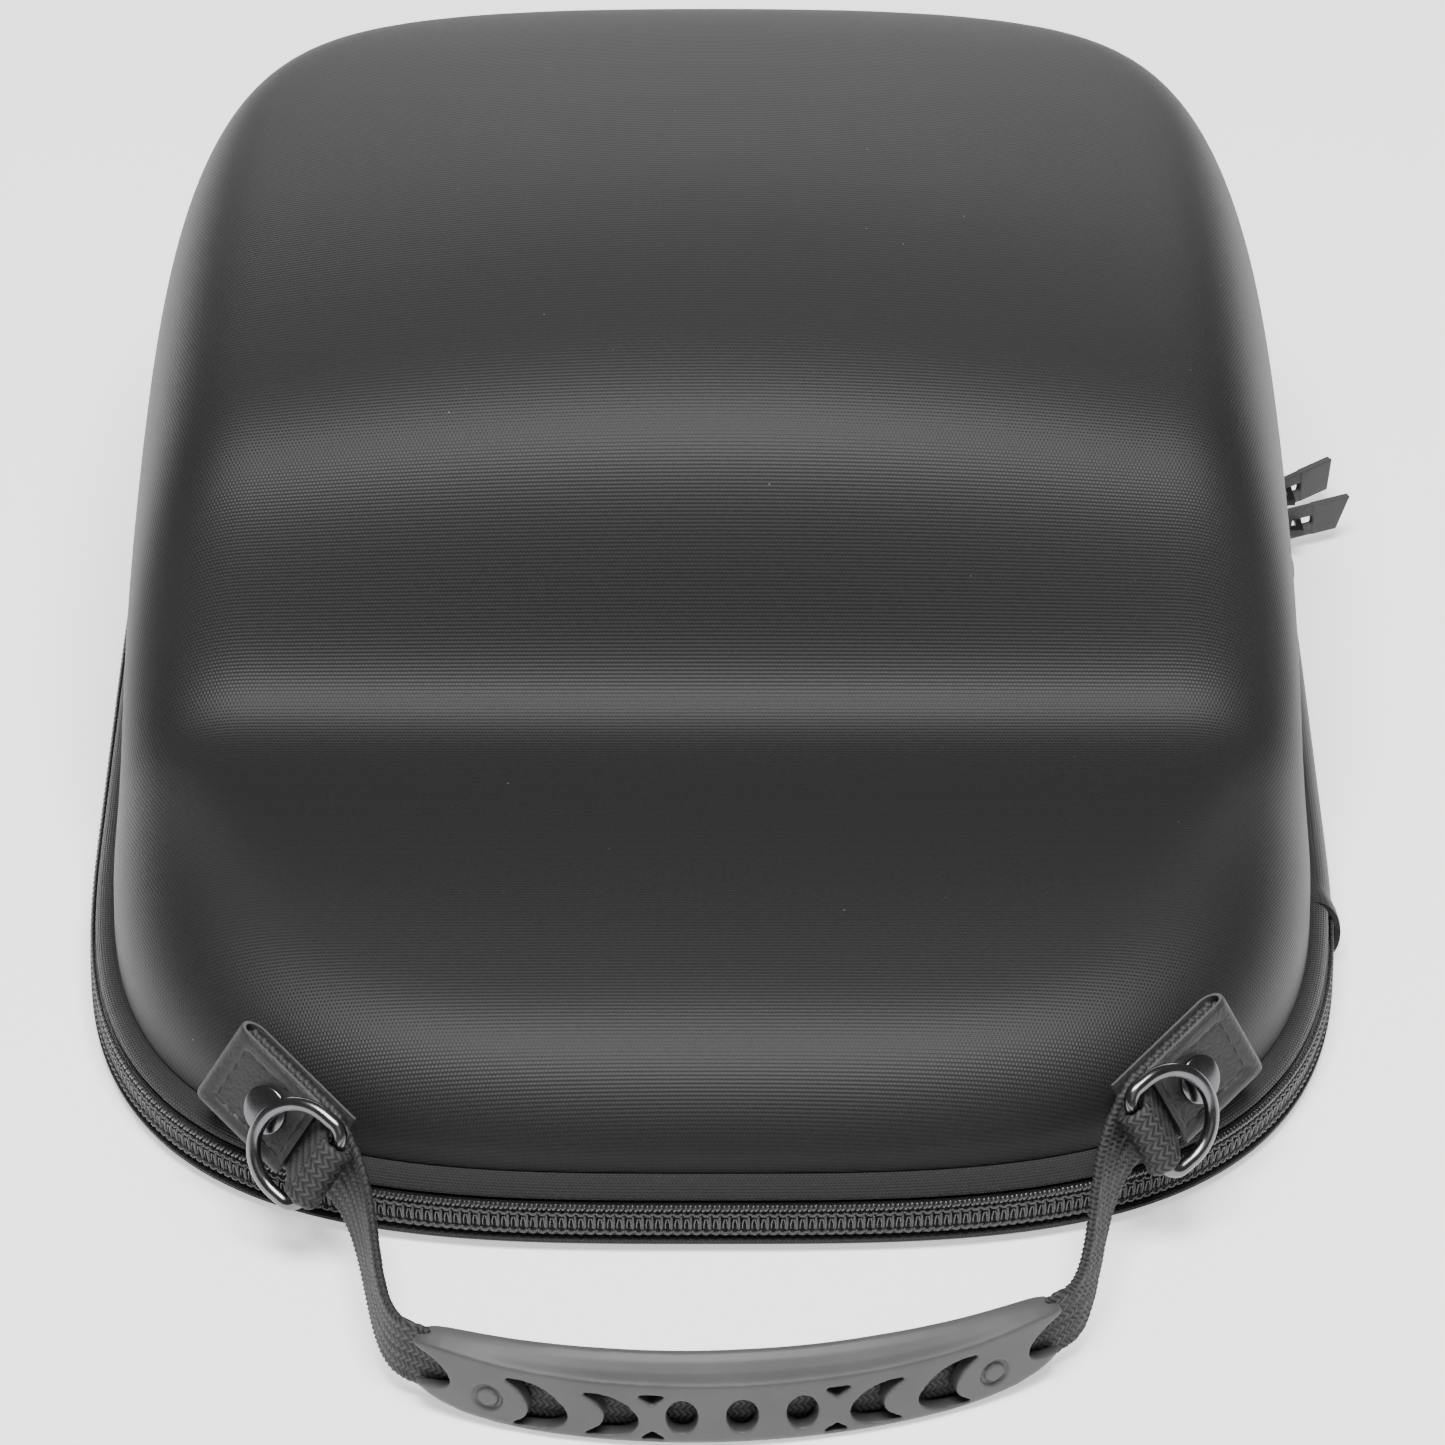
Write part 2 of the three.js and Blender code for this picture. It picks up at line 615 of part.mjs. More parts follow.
// Depth of the shell's inner face under the rivet, at the deepest place beneath its cap
function innerFace(frame) {
  const centre = frame.at(RIVET_FROM_FOLD, 0, 0);
  let deepest = 0;
  const step = SHELL_WALL / 2;
  const rows = 60;
  const shoulder = 0.3;
  for (let y = FRONT + step; y < WIDEST; y += step) {
    const edge = edgeStation(y);
    const station = { ...edge, x: frame.side * edge.x, outX: frame.side * edge.outX };
    for (let k = 0; k < rows; k += 1) {
      const offset = shellPoint(station, shoulder * (k / rows) ** 2, SHELL_WALL).sub(centre);
      const depth = offset.dot(frame.out);
      const under = offset.addScaledVector(frame.out, -depth).length() < RIVET_HEAD / 2;
      if (under) deepest = Math.min(deepest, depth);
    }
  }
  return deepest;
}
function rivetGeometry(frame) {
  const shank = RIVET_SHANK / 2;
  const head = RIVET_HEAD / 2;
  const shankEnd = innerFace(frame) - 4 * GAP;
  const cap = shankEnd - RIVET_CAP;
  const tip = 1e-3;
  const edge = headUnder + RIVET_EDGE;
  const rows = [
    [tip, cap],
    [head, cap],
    [head, shankEnd],
    [shank, shankEnd],
    [shank, headUnder],
    [head, headUnder],
    [head, edge],
  ];
  const steps = 4;
  for (let i = 1; i <= steps; i += 1) {
    const turn = (Math.PI / 2) * (i / steps);
    rows.push([
      Math.max(head * Math.cos(turn), tip),
      edge + (RIVET_DOME - RIVET_EDGE) * Math.sin(turn),
    ]);
  }
  return skin(rows.map(([radius, c]) => Array.from({ length: SHANK_SIDES }, (_, i) => {
    const turn = (2 * Math.PI * i) / SHANK_SIDES;
    return frame.at(RIVET_FROM_FOLD + radius * Math.cos(turn), radius * Math.sin(turn), c);
  })));
}

// D-shaped ring: a straight bar in the keeper and a bow that leans back onto the rivet
const bowOut = headUnder + RIVET_DOME + RING_WIRE / 2 + GAP;
const ringLean = Math.asin((bowOut - barOut) / RING_DEPTH);
function ringGeometry(frame) {
  const half = (RING_INSIDE + RING_WIRE) / 2;
  const centres = [];
  const bowTurns = 10;
  const bowCentre = RING_DEPTH - half;
  for (let i = 0; i <= bowTurns; i += 1) {
    const turn = (Math.PI * i) / bowTurns;
    centres.push([half * Math.cos(turn), bowCentre + half * Math.sin(turn)]);
  }
  const cornerTurns = 4;
  const corner = (sign, from) => {
    for (let i = 0; i <= cornerTurns; i += 1) {
      const turn = from + (Math.PI / 2) * (i / cornerTurns);
      centres.push([
        sign * (half - RING_CORNER) + RING_CORNER * Math.cos(turn),
        RING_CORNER + RING_CORNER * Math.sin(turn),
      ]);
    }
  };
  corner(-1, Math.PI);
  corner(1, 1.5 * Math.PI);
  const place = (b, reach, lift) => frame.at(
    barAlong - reach * Math.cos(ringLean) + lift * Math.sin(ringLean),
    b,
    barOut + reach * Math.sin(ringLean) + lift * Math.cos(ringLean),
  );
  const wireSides = 8;
  return skin(centres.map(([b, reach], i) => {
    const before = centres[(i - 1 + centres.length) % centres.length];
    const after = centres[(i + 1) % centres.length];
    const way = new THREE.Vector2(after[0] - before[0], after[1] - before[1]).normalize();
    return Array.from({ length: wireSides }, (_, k) => {
      const turn = (2 * Math.PI * k) / wireSides;
      const side = (RING_WIRE / 2) * Math.cos(turn);
      return place(b - way.y * side, reach + way.x * side, (RING_WIRE / 2) * Math.sin(turn));
    });
  }), true);
}

// Grip centre line: an arc in plan, and frames along it
const gripRadius = ((GRIP_CHORD / 2) ** 2 + GRIP_SAG ** 2) / (2 * GRIP_SAG);
const gripHalfTurn = Math.asin(GRIP_CHORD / 2 / gripRadius);
const gripFront = FRONT - GRIP_REACH - GRIP_SAG;
function gripFrame(along) {
  const turn = along / gripRadius;
  const local = new THREE.Vector2(Math.sin(turn), 1 - Math.cos(turn)).multiplyScalar(gripRadius);
  local.rotateAround(new THREE.Vector2(), rad(GRIP_TURN));
  const heading = turn + rad(GRIP_TURN);
  const way = vec(Math.cos(heading), Math.sin(heading), 0);
  const front = vec(Math.sin(heading), -Math.cos(heading), 0);
  const centre = vec(GRIP_SHIFT + local.x, gripFront + local.y, GRIP_FOOT);
  const at = (s, u, w) => centre.clone().addScaledVector(way, s).addScaledVector(front, w)
    .add(vec(0, 0, u));
  return { way, front, at };
}
const gripHalf = gripHalfTurn * gripRadius;

const strapMiddle = GRIP_HEIGHT * STRAP_RISE;
function gripBody() {
  return skin(GRIP_ROWS.map((row) => {
    const frame = gripFrame(row.along * gripHalf);
    const front = GRIP_FRONT * row.front;
    const back = -GRIP_BACK * row.back;
    const top = GRIP_HEIGHT * row.top;
    return [
      [0, back + GRIP_ROUND],
      [0, front - GRIP_ROUND],
      [GRIP_ROUND, front],
      [GRIP_FACE, front],
      [top - GRIP_ROUND, back + 2 * GRIP_ROUND],
      [top, back + GRIP_ROUND],
      [top - GRIP_ROUND, back],
      [GRIP_ROUND, back],
    ].map(([u, w]) => frame.at(0, u, w));
  }));
}

// Places of the strap in the grip, a little past both of its ends
const SLOT_STEPS = 16;
const slotPlaces = Array.from(
  { length: SLOT_STEPS + 1 },
  (_, i) => lerp(-1.05, 1.05, i / SLOT_STEPS) * gripHalf,
);
function gripSlot() {
  const high = WEBBING_WIDTH / 2 + GAP;
  const thick = WEBBING / 2 + GAP;
  return skin(slotPlaces.map((along) => {
    const frame = gripFrame(along);
    return [[-high, -thick], [-high, thick], [high, thick], [high, -thick]]
      .map(([u, w]) => frame.at(0, strapMiddle + u, w - STRAP_IN_GRIP));
  }));
}

// Cut-outs of the grip's face, drawn in along and up and run through to the strap
const faceMiddle = GRIP_FACE * FACE_RISE;
function gripCut(along, points, from, to) {
  const frame = gripFrame(along);
  return solid(skin([from, to].map((w) => points.map(([s, u]) => frame.at(s, u, w)))));
}
const OVAL_SIDES = 12;
function oval(width, height, middle) {
  return Array.from({ length: OVAL_SIDES }, (_, i) => {
    const turn = (2 * Math.PI * i) / OVAL_SIDES;
    return [(width / 2) * Math.cos(turn), middle + (height / 2) * Math.sin(turn)];
  });
}
function gripCuts() {
  const open = -STRAP_IN_GRIP;
  const past = GRIP_FRONT + GRIP_ROUND;
  const cuts = [];
  for (const k of [-1, 0, 1]) {
    const shape = oval(WINDOW.width, WINDOW.height, faceMiddle);
    cuts.push(gripCut(k * WINDOW.pitch, shape, open, past));
  }
  for (const side of [-1, 1]) {
    const onSide = (outline) => outline.map(([s, u]) => [side * s, u]);
    for (const way of [-1, 1]) {
      const edge = faceMiddle + way * (CROSS.apart / 2);
      const tip = edge - way * CROSS.height;
      const shape = [[-CROSS.width / 2, edge], [0, tip], [CROSS.width / 2, edge]];
      cuts.push(gripCut(side * CROSS.from, shape, open, past));
    }
    for (const moon of CRESCENTS) {
      cuts.push(gripCut(side * moon.from, onSide(moon.outline), open, past));
    }
    const ring = oval(2 * BOSS.radius, 2 * BOSS.radius, faceMiddle);
    const button = oval(2 * BOSS.button, 2 * BOSS.button, faceMiddle);
    const groove = gripCut(side * BOSS.from, ring, BOSS.floor, past);
    cuts.push(groove.subtract(gripCut(side * BOSS.from, button, 0, GRIP_FRONT)));
    cuts.push(gripCut(side * gripHalf, onSide(MOUTH), open, past));
  }
  return cuts;
}

// Handle webbing: from inside the left tab, through the grip, into the right tab
function strapStations(left, right) {
  const inTab = (frame) => {
    const start = (tabTop - LEATHER) / 2 + GAP;
    const places = [start, TAB_LENGTH / 2, strapFree];
    return places.map((a) => ({ at: frame.at(a, 0, strapLayer), across: frame.across }));
  };
  const up = vec(0, 0, 1);
  const inGrip = slotPlaces.map((along) => {
    const frame = gripFrame(along);
    return { at: frame.at(0, strapMiddle, -STRAP_IN_GRIP), across: up, way: frame.way };
  });
  const between = (tab, end, way) => {
    const first = tab.at(strapFree, 0, strapLayer);
    const span = first.distanceTo(end.at);
    const curve = new THREE.CubicBezierCurve3(
      first,
      first.clone().addScaledVector(tab.along, span * TAB_PULL),
      end.at.clone().addScaledVector(way, span * GRIP_PULL),
      end.at,
    );
    const steps = 8;
    return Array.from({ length: steps - 1 }, (_, i) => {
      const share = (i + 1) / steps;
      const across = tab.across.clone().lerp(up, share ** STRAP_TWIST).normalize();
      return { at: curve.getPoint(share), across };
    });
  };
  const first = inGrip[0];
  const last = inGrip[inGrip.length - 1];
  return [
    ...inTab(left),
    ...between(left, first, first.way.clone().negate()),
    ...inGrip,
    ...between(right, last, last.way).reverse(),
    ...inTab(right).reverse(),
  ];
}
function strapGeometry(path) {
  return skin(path.map((station, i) => {
    const before = path[Math.max(i - 1, 0)].at;
    const after = path[Math.min(i + 1, path.length - 1)].at;
    const way = after.clone().sub(before).normalize();
    const thick = way.clone().cross(station.across).normalize();
    const across = thick.clone().cross(way);
    return [[1, 1], [1, -1], [-1, -1], [-1, 1]].map(([t, w]) => station.at.clone()
      .addScaledVector(thick, (t * WEBBING) / 2).addScaledVector(across, (w * WEBBING_WIDTH) / 2));
  }));
}

// Slider: a channel round the coil and both tape edges, with a bail on its outer face
const plateBack = ZIP_BULGE + GAP;
const coilMiddle = (COIL_TOP + COIL_FOOT) / 2;
function block(frame, [out0, out1], [along0, along1], [up0, up1]) {
  const corners = [[along0, up0], [along1, up0], [along1, up1], [along0, up1]];
  const ring = (out) => corners.map(([s, u]) => frame.at(out, s, u));
  return solid(skin([ring(out0), ring(out1)]));
}
function sliderFrame(pull) {
  const station = edgeStation(FRONT + pull.fromFront);
  const out = vec(station.outX, station.outY, 0);
  const way = vec(-station.outY, station.outX, 0);
  const at = (o, s, u) => vec(station.x, station.y, u).addScaledVector(out, o).addScaledVector(way, s);
  return { ...pull, out, way, at };
}
function sliderGeometry(frame) {
  const half = SLIDER_LENGTH / 2;
  const plate = [plateBack, plateBack + SLIDER_PLATE];
  const plateMiddle = plateBack + SLIDER_PLATE / 2;
  const bailOuter = plate[1] + BAIL_REACH;
  const barHalf = BAIL_LENGTH / 2;
  const bailUp = [coilMiddle - BAIL_BAR / 2, coilMiddle + BAIL_BAR / 2];
  const pieces = [
    block(frame, plate, [-half, half], [COIL_FOOT - GAP / 2, COIL_TOP + SLIDER_RISE]),
    block(frame, [bailOuter - BAIL_BAR, bailOuter], [-barHalf, barHalf], bailUp),
    block(frame, [plateMiddle, bailOuter], [-barHalf, -barHalf + BAIL_BAR], bailUp),
    block(frame, [plateMiddle, bailOuter], [barHalf - BAIL_BAR, barHalf], bailUp),
  ];
  return fromSolid(pieces.reduce((all, piece) => all.add(piece)));
}

// Pull: a flat strip with a window that the bail's bar passes through, and a slanted end
const postOut = plateBack + SLIDER_PLATE + GAP + POST / 2;
const eyeHeight = BAIL_BAR + 4 * GAP;
function pullGeometry(frame) {
  const swing = rad(frame.swing);
  const turned = (along, thick, up) => frame.at(
    postOut + along * Math.cos(swing) - thick * Math.sin(swing),
    along * Math.sin(swing) + thick * Math.cos(swing),
    coilMiddle + up,
  );
  const bar = (from, to, low, high, slant, thickness) => {
    const corners = [[from, low], [to - slant, low], [to, high], [from, high]];
    const ring = (t) => corners.map(([a, u]) => turned(a, t, u));
    return solid(skin([ring(-thickness / 2), ring(thickness / 2)]));
  };
  const half = PULL_WIDTH / 2;
  const eye = eyeHeight / 2;
  const pieces = [
    bar(-POST / 2, POST / 2, -half, half, 0, POST),
    bar(0, PULL_WINDOW + POST / 2, eye, half, 0, POST),
    bar(0, PULL_WINDOW + POST / 2, -half, -eye, 0, POST),
    bar(PULL_WINDOW, PULL_LENGTH, -half, half, PULL_SLANT, PULL_THICKNESS),
  ];
  return fromSolid(pieces.reduce((all, piece) => all.add(piece)));
}

// Assembly
const tabs = TABS.map(tabFrame);
const holeRadius = RIVET_SHANK / 2 + GAP;
const holes = tabs.map((frame) => solid(
  rivetShank(frame, holeRadius, -3 * SHELL_WALL, headUnder + RIVET_DOME),
));
const without = (geometry, cuts) => fromSolid(
  cuts.reduce((body, cut) => body.subtract(cut), solid(geometry)),
);

add('top_shell', without(shellGeometry(), holes), fabric());
add('bottom_shell', baseGeometry(), fabric());
add('zip_tape_upper', strip(zipStations, TAPE_UPPER), tape());
add('zip_coil', strip(zipStations, COIL), coilPlastic());
add('zip_tape_lower', strip(zipStations, TAPE_LOWER), tape());
add('hinge_strip', strip(hingeStations, hingeSection()), fabric());
for (const pull of PULLS) {
  const frame = sliderFrame(pull);
  add(`slider_${pull.name}`, sliderGeometry(frame), blackMetal());
  add(`pull_${pull.name}`, pullGeometry(frame), leather());
}
tabs.forEach((frame, i) => {
  const folded = tabBand(frame, foldPath(), TAB_WIDTH, LEATHER);
  const keeper = tabBand(frame, keeperPath(), WEBBING_WIDTH, WEBBING);
  add(`tab_${frame.name}`, without(folded, [holes[i]]), leather());
  add(`keeper_${frame.name}`, without(keeper, [holes[i]]), tape());
  add(`rivet_${frame.name}`, rivetGeometry(frame), blackMetal());
  add(`d_ring_${frame.name}`, ringGeometry(frame), blackMetal());
});
const strap = strapGeometry(strapStations(tabs[0], tabs[1]));
add('handle_webbing', without(strap, holes), tape());
add('grip', without(gripBody(), [solid(gripSlot()), ...gripCuts()]), rubber());

export default part;
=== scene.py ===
import math

import bmesh
import bpy
from mathutils import Matrix, Vector


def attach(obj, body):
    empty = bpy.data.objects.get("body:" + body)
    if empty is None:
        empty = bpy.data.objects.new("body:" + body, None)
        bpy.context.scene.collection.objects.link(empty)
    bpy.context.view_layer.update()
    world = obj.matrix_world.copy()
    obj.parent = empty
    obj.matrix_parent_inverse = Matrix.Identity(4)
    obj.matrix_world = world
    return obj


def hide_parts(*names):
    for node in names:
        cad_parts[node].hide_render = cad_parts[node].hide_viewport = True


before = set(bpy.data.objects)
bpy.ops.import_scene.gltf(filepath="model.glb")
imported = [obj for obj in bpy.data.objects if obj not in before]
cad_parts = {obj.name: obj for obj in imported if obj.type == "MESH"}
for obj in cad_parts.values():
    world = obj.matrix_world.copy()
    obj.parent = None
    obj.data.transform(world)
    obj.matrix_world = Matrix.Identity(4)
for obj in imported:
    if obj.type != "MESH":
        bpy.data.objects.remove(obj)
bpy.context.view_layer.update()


# Base
# The shallow lower half of the case: foam board moulded with knit fabric on both faces,
# with a flat underside and an upright rim that the zip's lower tape is sewn to.
MM = 0.001
CASE_LENGTH = 270.0
CASE_WIDTH = 204.0
WIDEST_FROM_FRONT = 104.0
FRONT_SQUARENESS = 3.3
BACK_SQUARENESS = 5.2
FRONT = -CASE_LENGTH / 2
BACK = CASE_LENGTH / 2
WIDEST = FRONT + WIDEST_FROM_FRONT
FRONT_FAN = 72.0
BACK_FAN = 75.0
BASE_WALL = 3.0
BASE_ROUND = 7.0
BASE_RIM = 11.4
CHARCOAL = (0.012, 0.012, 0.0128, 1.0)
LINT_GREY = (0.3, 0.3, 0.31, 1.0)
KNIT_ROW = 0.66
KNIT_LOOP = 0.6
CREASE_ZONE = (0.3, 0.52)
BASE_POINTS = 200


def mix(a, b, share):
    return a + (b - a) * share


def limited(value, low, high):
    return max(low, min(high, value))


def outline_point(turn):
    ahead = math.sin(turn) < 0
    power = FRONT_SQUARENESS if ahead else BACK_SQUARENESS
    reach = WIDEST_FROM_FRONT if ahead else CASE_LENGTH - WIDEST_FROM_FRONT
    x = math.copysign(CASE_WIDTH / 2 * abs(math.cos(turn)) ** (2 / power), math.cos(turn))
    y = WIDEST + math.copysign(reach * abs(math.sin(turn)) ** (2 / power), math.sin(turn))
    return Vector((x, y))


def edge_stations(count, crease_density=1.0):
    """Places (x, y, outward x, outward y) round the case's foot, mirrored left to right."""
    samples = 4000
    dense = [outline_point(-math.pi / 2 + math.pi * i / samples) for i in range(samples + 1)]
    weight = [0.0]
    for i in range(1, samples + 1):
        share = (dense[i].y - FRONT) / CASE_LENGTH
        density = crease_density if CREASE_ZONE[0] < share < CREASE_ZONE[1] else 1.0
        weight.append(weight[-1] + (dense[i] - dense[i - 1]).length * density)
    right = [(0.0, FRONT, 0.0, -1.0)]
    at = 0
    half = count // 2
    for k in range(1, half):
        goal = weight[-1] * k / half
        while weight[at + 1] < goal:
            at += 1
        point = dense[at].lerp(dense[at + 1], (goal - weight[at]) / (weight[at + 1] - weight[at]))
        along = (dense[at + 1] - dense[at]).normalized()
        right.append((point.x, point.y, along.y, -along.x))
    left = [(-x, y, -nx, ny) for x, y, nx, ny in reversed(right[1:])]
    return right + [(0.0, BACK, 0.0, 1.0)] + left


def deselect_all():
    if bpy.context.object and bpy.context.object.mode != "OBJECT":
        bpy.ops.object.mode_set(mode="OBJECT")
    bpy.ops.object.select_all(action="DESELECT")


def pick(piece):
    deselect_all()
    piece.select_set(True)
    bpy.context.view_layer.objects.active = piece


def drawn_out(name, count, steps, place, filled=True):
    """A ring of count points, extruded step by step to place(step, point), in millimetres."""
    deselect_all()
    fill = "NGON" if filled else "NOTHING"
    bpy.ops.mesh.primitive_circle_add(vertices=count, radius=1, fill_type=fill)
    piece = bpy.context.object
    piece.name = name
    piece.data.name = name
    bpy.ops.object.mode_set(mode="EDIT")
    mesh = bmesh.from_edit_mesh(piece.data)
    point = mesh.verts.layers.int.new("point")
    mesh.verts.layers.int.new("step")
    mesh.verts.ensure_lookup_table()
    for i, vert in enumerate(mesh.verts):
        vert[point] = i
        vert.co = Vector(place(0, i)) * MM
    bpy.ops.mesh.select_all(action="SELECT")
    for step in range(1, steps):
        bpy.ops.mesh.extrude_region_move()
        mesh = bmesh.from_edit_mesh(piece.data)
        point = mesh.verts.layers.int["point"]
        counted = mesh.verts.layers.int["step"]
        mesh.verts.ensure_lookup_table()
        for vert in mesh.verts[-count:]:
            vert[counted] = step
            vert.co = Vector(place(step, vert[point])) * MM
    bmesh.update_edit_mesh(piece.data)
    bpy.ops.object.mode_set(mode="OBJECT")
    return piece


def closed_up(piece, gap=0.01):
    """Merges the places where rings meet and turns all faces outward."""
    bpy.ops.object.mode_set(mode="EDIT")
    bpy.ops.mesh.select_all(action="SELECT")
    bpy.ops.mesh.remove_doubles(threshold=gap * MM)
    bpy.ops.mesh.normals_make_consistent(inside=False)
    bpy.ops.object.mode_set(mode="OBJECT")
    return piece


def apply_modifiers(piece):
    pick(piece)
    for modifier in list(piece.modifiers):
        bpy.ops.object.modifier_apply(modifier=modifier.name)


def smoothed(piece, angle=35):
    pick(piece)
    bpy.ops.object.shade_smooth_by_angle(angle=math.radians(angle))
    apply_modifiers(piece)
    return piece


def lay_pattern(piece, count, flat):
    """Lays the UV map flat(step, point) in millimetres, from the layers that drawn_out kept."""
    mesh = bmesh.new()
    mesh.from_mesh(piece.data)
    point = mesh.verts.layers.int["point"]
    step = mesh.verts.layers.int["step"]
    uv = mesh.loops.layers.uv.new("cloth")
    for face in mesh.faces:
        numbers = [vert[point] for vert in face.verts]
        wraps = max(numbers) - min(numbers) > count / 2
        for loop in face.loops:
            i = loop.vert[point]
            if wraps and i < count / 2:
                i += count
            loop[uv].uv = flat(loop.vert[step], i)
    mesh.to_mesh(piece.data)
    mesh.free()


def shader(name):
    material = bpy.data.materials.new(name)
    material.use_nodes = True
    tree = material.node_tree
    return material, tree, tree.nodes["Principled BSDF"]


def constants(bsdf, **values):
    """Sets values on the shader's own sockets; an underscore stands for a space."""
    for label, value in values.items():
        bsdf.inputs[label.replace("_", " ")].default_value = value


def node(tree, kind, **values):
    made = tree.nodes.new("ShaderNode" + kind)
    for key, value in values.items():
        setattr(made, key, value)
    return made


def sum_of(tree, operation, a, b=None):
    """A Math node on sockets or numbers; gives its output socket."""
    made = node(tree, "Math", operation=operation)
    for socket, value in zip(made.inputs, (a, b)):
        if value is None:
            continue
        if isinstance(value, (int, float)):
            socket.default_value = value
        else:
            tree.links.new(value, socket)
    return made.outputs[0]


def effect_group(name, inputs, outputs):
    """A node group whose inputs are values, or places where None is given."""
    tree = bpy.data.node_groups.new(name, "ShaderNodeTree")
    for label, default in inputs.items():
        kind = "NodeSocketVector" if default is None else "NodeSocketFloat"
        socket = tree.interface.new_socket(label, in_out="INPUT", socket_type=kind)
        if default is not None:
            socket.default_value = default
    for label in outputs:
        tree.interface.new_socket(label, in_out="OUTPUT", socket_type="NodeSocketFloat")
    return tree, tree.nodes.new("NodeGroupInput"), tree.nodes.new("NodeGroupOutput")


def place_group(tree, effect, first, source, **values):
    """Places an effect in a material, with its first input linked to source."""
    made = node(tree, "Group", node_tree=effect)
    tree.links.new(source, made.inputs[first])
    for label, value in values.items():
        made.inputs[label].default_value = value
    return made


def noise(tree, place, scale, detail=2):
    made = node(tree, "TexNoise")
    made.inputs["Scale"].default_value = scale
    made.inputs["Detail"].default_value = detail
    tree.links.new(place, made.inputs["Vector"])
    return made.outputs["Fac"]


def own_place(tree):
    return node(tree, "TexCoord").outputs["Object"]


def cloth_place(tree):
    return node(tree, "UVMap", uv_map="cloth").outputs[0]


def multiplied(tree, colour, shade):
    """The colour, a value or a socket, times shade."""
    made = node(tree, "Mix", data_type="RGBA", blend_type="MULTIPLY")
    made.inputs["Factor"].default_value = 1
    if isinstance(colour, tuple):
        made.inputs["A"].default_value = colour
    else:
        tree.links.new(colour, made.inputs["A"])
    tree.links.new(shade, made.inputs["B"])
    return made.outputs["Result"]


def raise_surface(tree, height, strength, distance):
    """Bumps the surface by height, over a distance in millimetres."""
    bump = node(tree, "Bump")
    bump.inputs["Strength"].default_value = strength
    bump.inputs["Distance"].default_value = distance * MM
    tree.links.new(height, bump.inputs["Height"])
    tree.links.new(bump.outputs[0], tree.nodes["Principled BSDF"].inputs["Normal"])


def split_flat(tree, given):
    split = node(tree, "SeparateXYZ")
    tree.links.new(given.outputs["Flat"], split.inputs[0])
    return split.outputs[0], split.outputs[1]


def knit_effect():
    """Rows of small knitted loops, each row set half a loop along; the Shade is painted shade of the loops'
    relief with a random yarn tone.
    """
    sizes = {"Row": KNIT_ROW, "Loop": KNIT_LOOP}
    tree, given, out = effect_group("knit_rows", {"Flat": None, **sizes}, ["Height", "Shade"])
    across, along = split_flat(tree, given)
    rows = sum_of(tree, "DIVIDE", along, given.outputs["Row"])
    loops = sum_of(tree, "DIVIDE", across, given.outputs["Loop"])
    row_wave = sum_of(tree, "SINE", sum_of(tree, "MULTIPLY", rows, math.tau))
    shift = sum_of(tree, "MULTIPLY", sum_of(tree, "FLOOR", rows), 0.5)
    shifted = sum_of(tree, "ADD", loops, shift)
    loop_wave = sum_of(tree, "SINE", sum_of(tree, "MULTIPLY", shifted, math.tau))
    both = sum_of(tree, "MULTIPLY", sum_of(tree, "ADD", row_wave, loop_wave), 0.25)
    height = sum_of(tree, "ADD", both, 0.5)
    tree.links.new(height, out.inputs["Height"])
    yarn = noise(tree, given.outputs["Flat"], 1.3, 3)
    uneven = sum_of(tree, "MULTIPLY", sum_of(tree, "SUBTRACT", yarn, 0.5), 0.7)
    # Painted shade: lighter on the loops' tops and darker in the gaps between them, plus a random yarn tone.
    shade = sum_of(tree, "ADD", sum_of(tree, "MULTIPLY", height, 0.95), sum_of(tree, "ADD", uneven, 0.52))
    tree.links.new(shade, out.inputs["Shade"])
    return tree


def lint_effect():
    """Sparse specks of lint and dust that cling to dark cloth."""
    tree, given, out = effect_group("lint", {"Place": None, "Spread": 180.0, "Size": 0.03}, ["Specks"])
    cells = node(tree, "TexVoronoi")
    tree.links.new(given.outputs["Place"], cells.inputs["Vector"])
    tree.links.new(given.outputs["Spread"], cells.inputs["Scale"])
    near = sum_of(tree, "LESS_THAN", cells.outputs["Distance"], given.outputs["Size"])
    split = node(tree, "SeparateColor")
    tree.links.new(cells.outputs["Color"], split.inputs[0])
    rare = sum_of(tree, "GREATER_THAN", split.outputs[0], 0.72)
    tree.links.new(sum_of(tree, "MULTIPLY", near, rare), out.inputs["Specks"])
    return tree


knit_rows = knit_effect()
lint = lint_effect()


def cloth_material(
    name, colour, roughness=0.51, sheen=0.03, depth=0.07, row=KNIT_ROW, loop=KNIT_LOOP, speck=0.3,
):
    material, tree, bsdf = shader(name)
    knit = place_group(tree, knit_rows, "Flat", cloth_place(tree), Row=row, Loop=loop)
    dust = place_group(tree, lint, "Place", own_place(tree))
    specks = node(tree, "Mix", data_type="RGBA")
    dusted = sum_of(tree, "MULTIPLY", dust.outputs["Specks"], speck)
    tree.links.new(dusted, specks.inputs["Factor"])
    # The cloth's colour times the knit's painted loop shade and random yarn tone.
    tree.links.new(multiplied(tree, colour, knit.outputs["Shade"]), specks.inputs["A"])
    specks.inputs["B"].default_value = LINT_GREY
    tree.links.new(specks.outputs["Result"], bsdf.inputs["Base Color"])
    raise_surface(tree, knit.outputs["Height"], 0.8, depth)
    constants(bsdf, Roughness=roughness, Sheen_Weight=sheen, Sheen_Roughness=0.4, Specular_IOR_Level=0.25)
    return material


shell_knit = cloth_material("charcoal_knit", CHARCOAL)

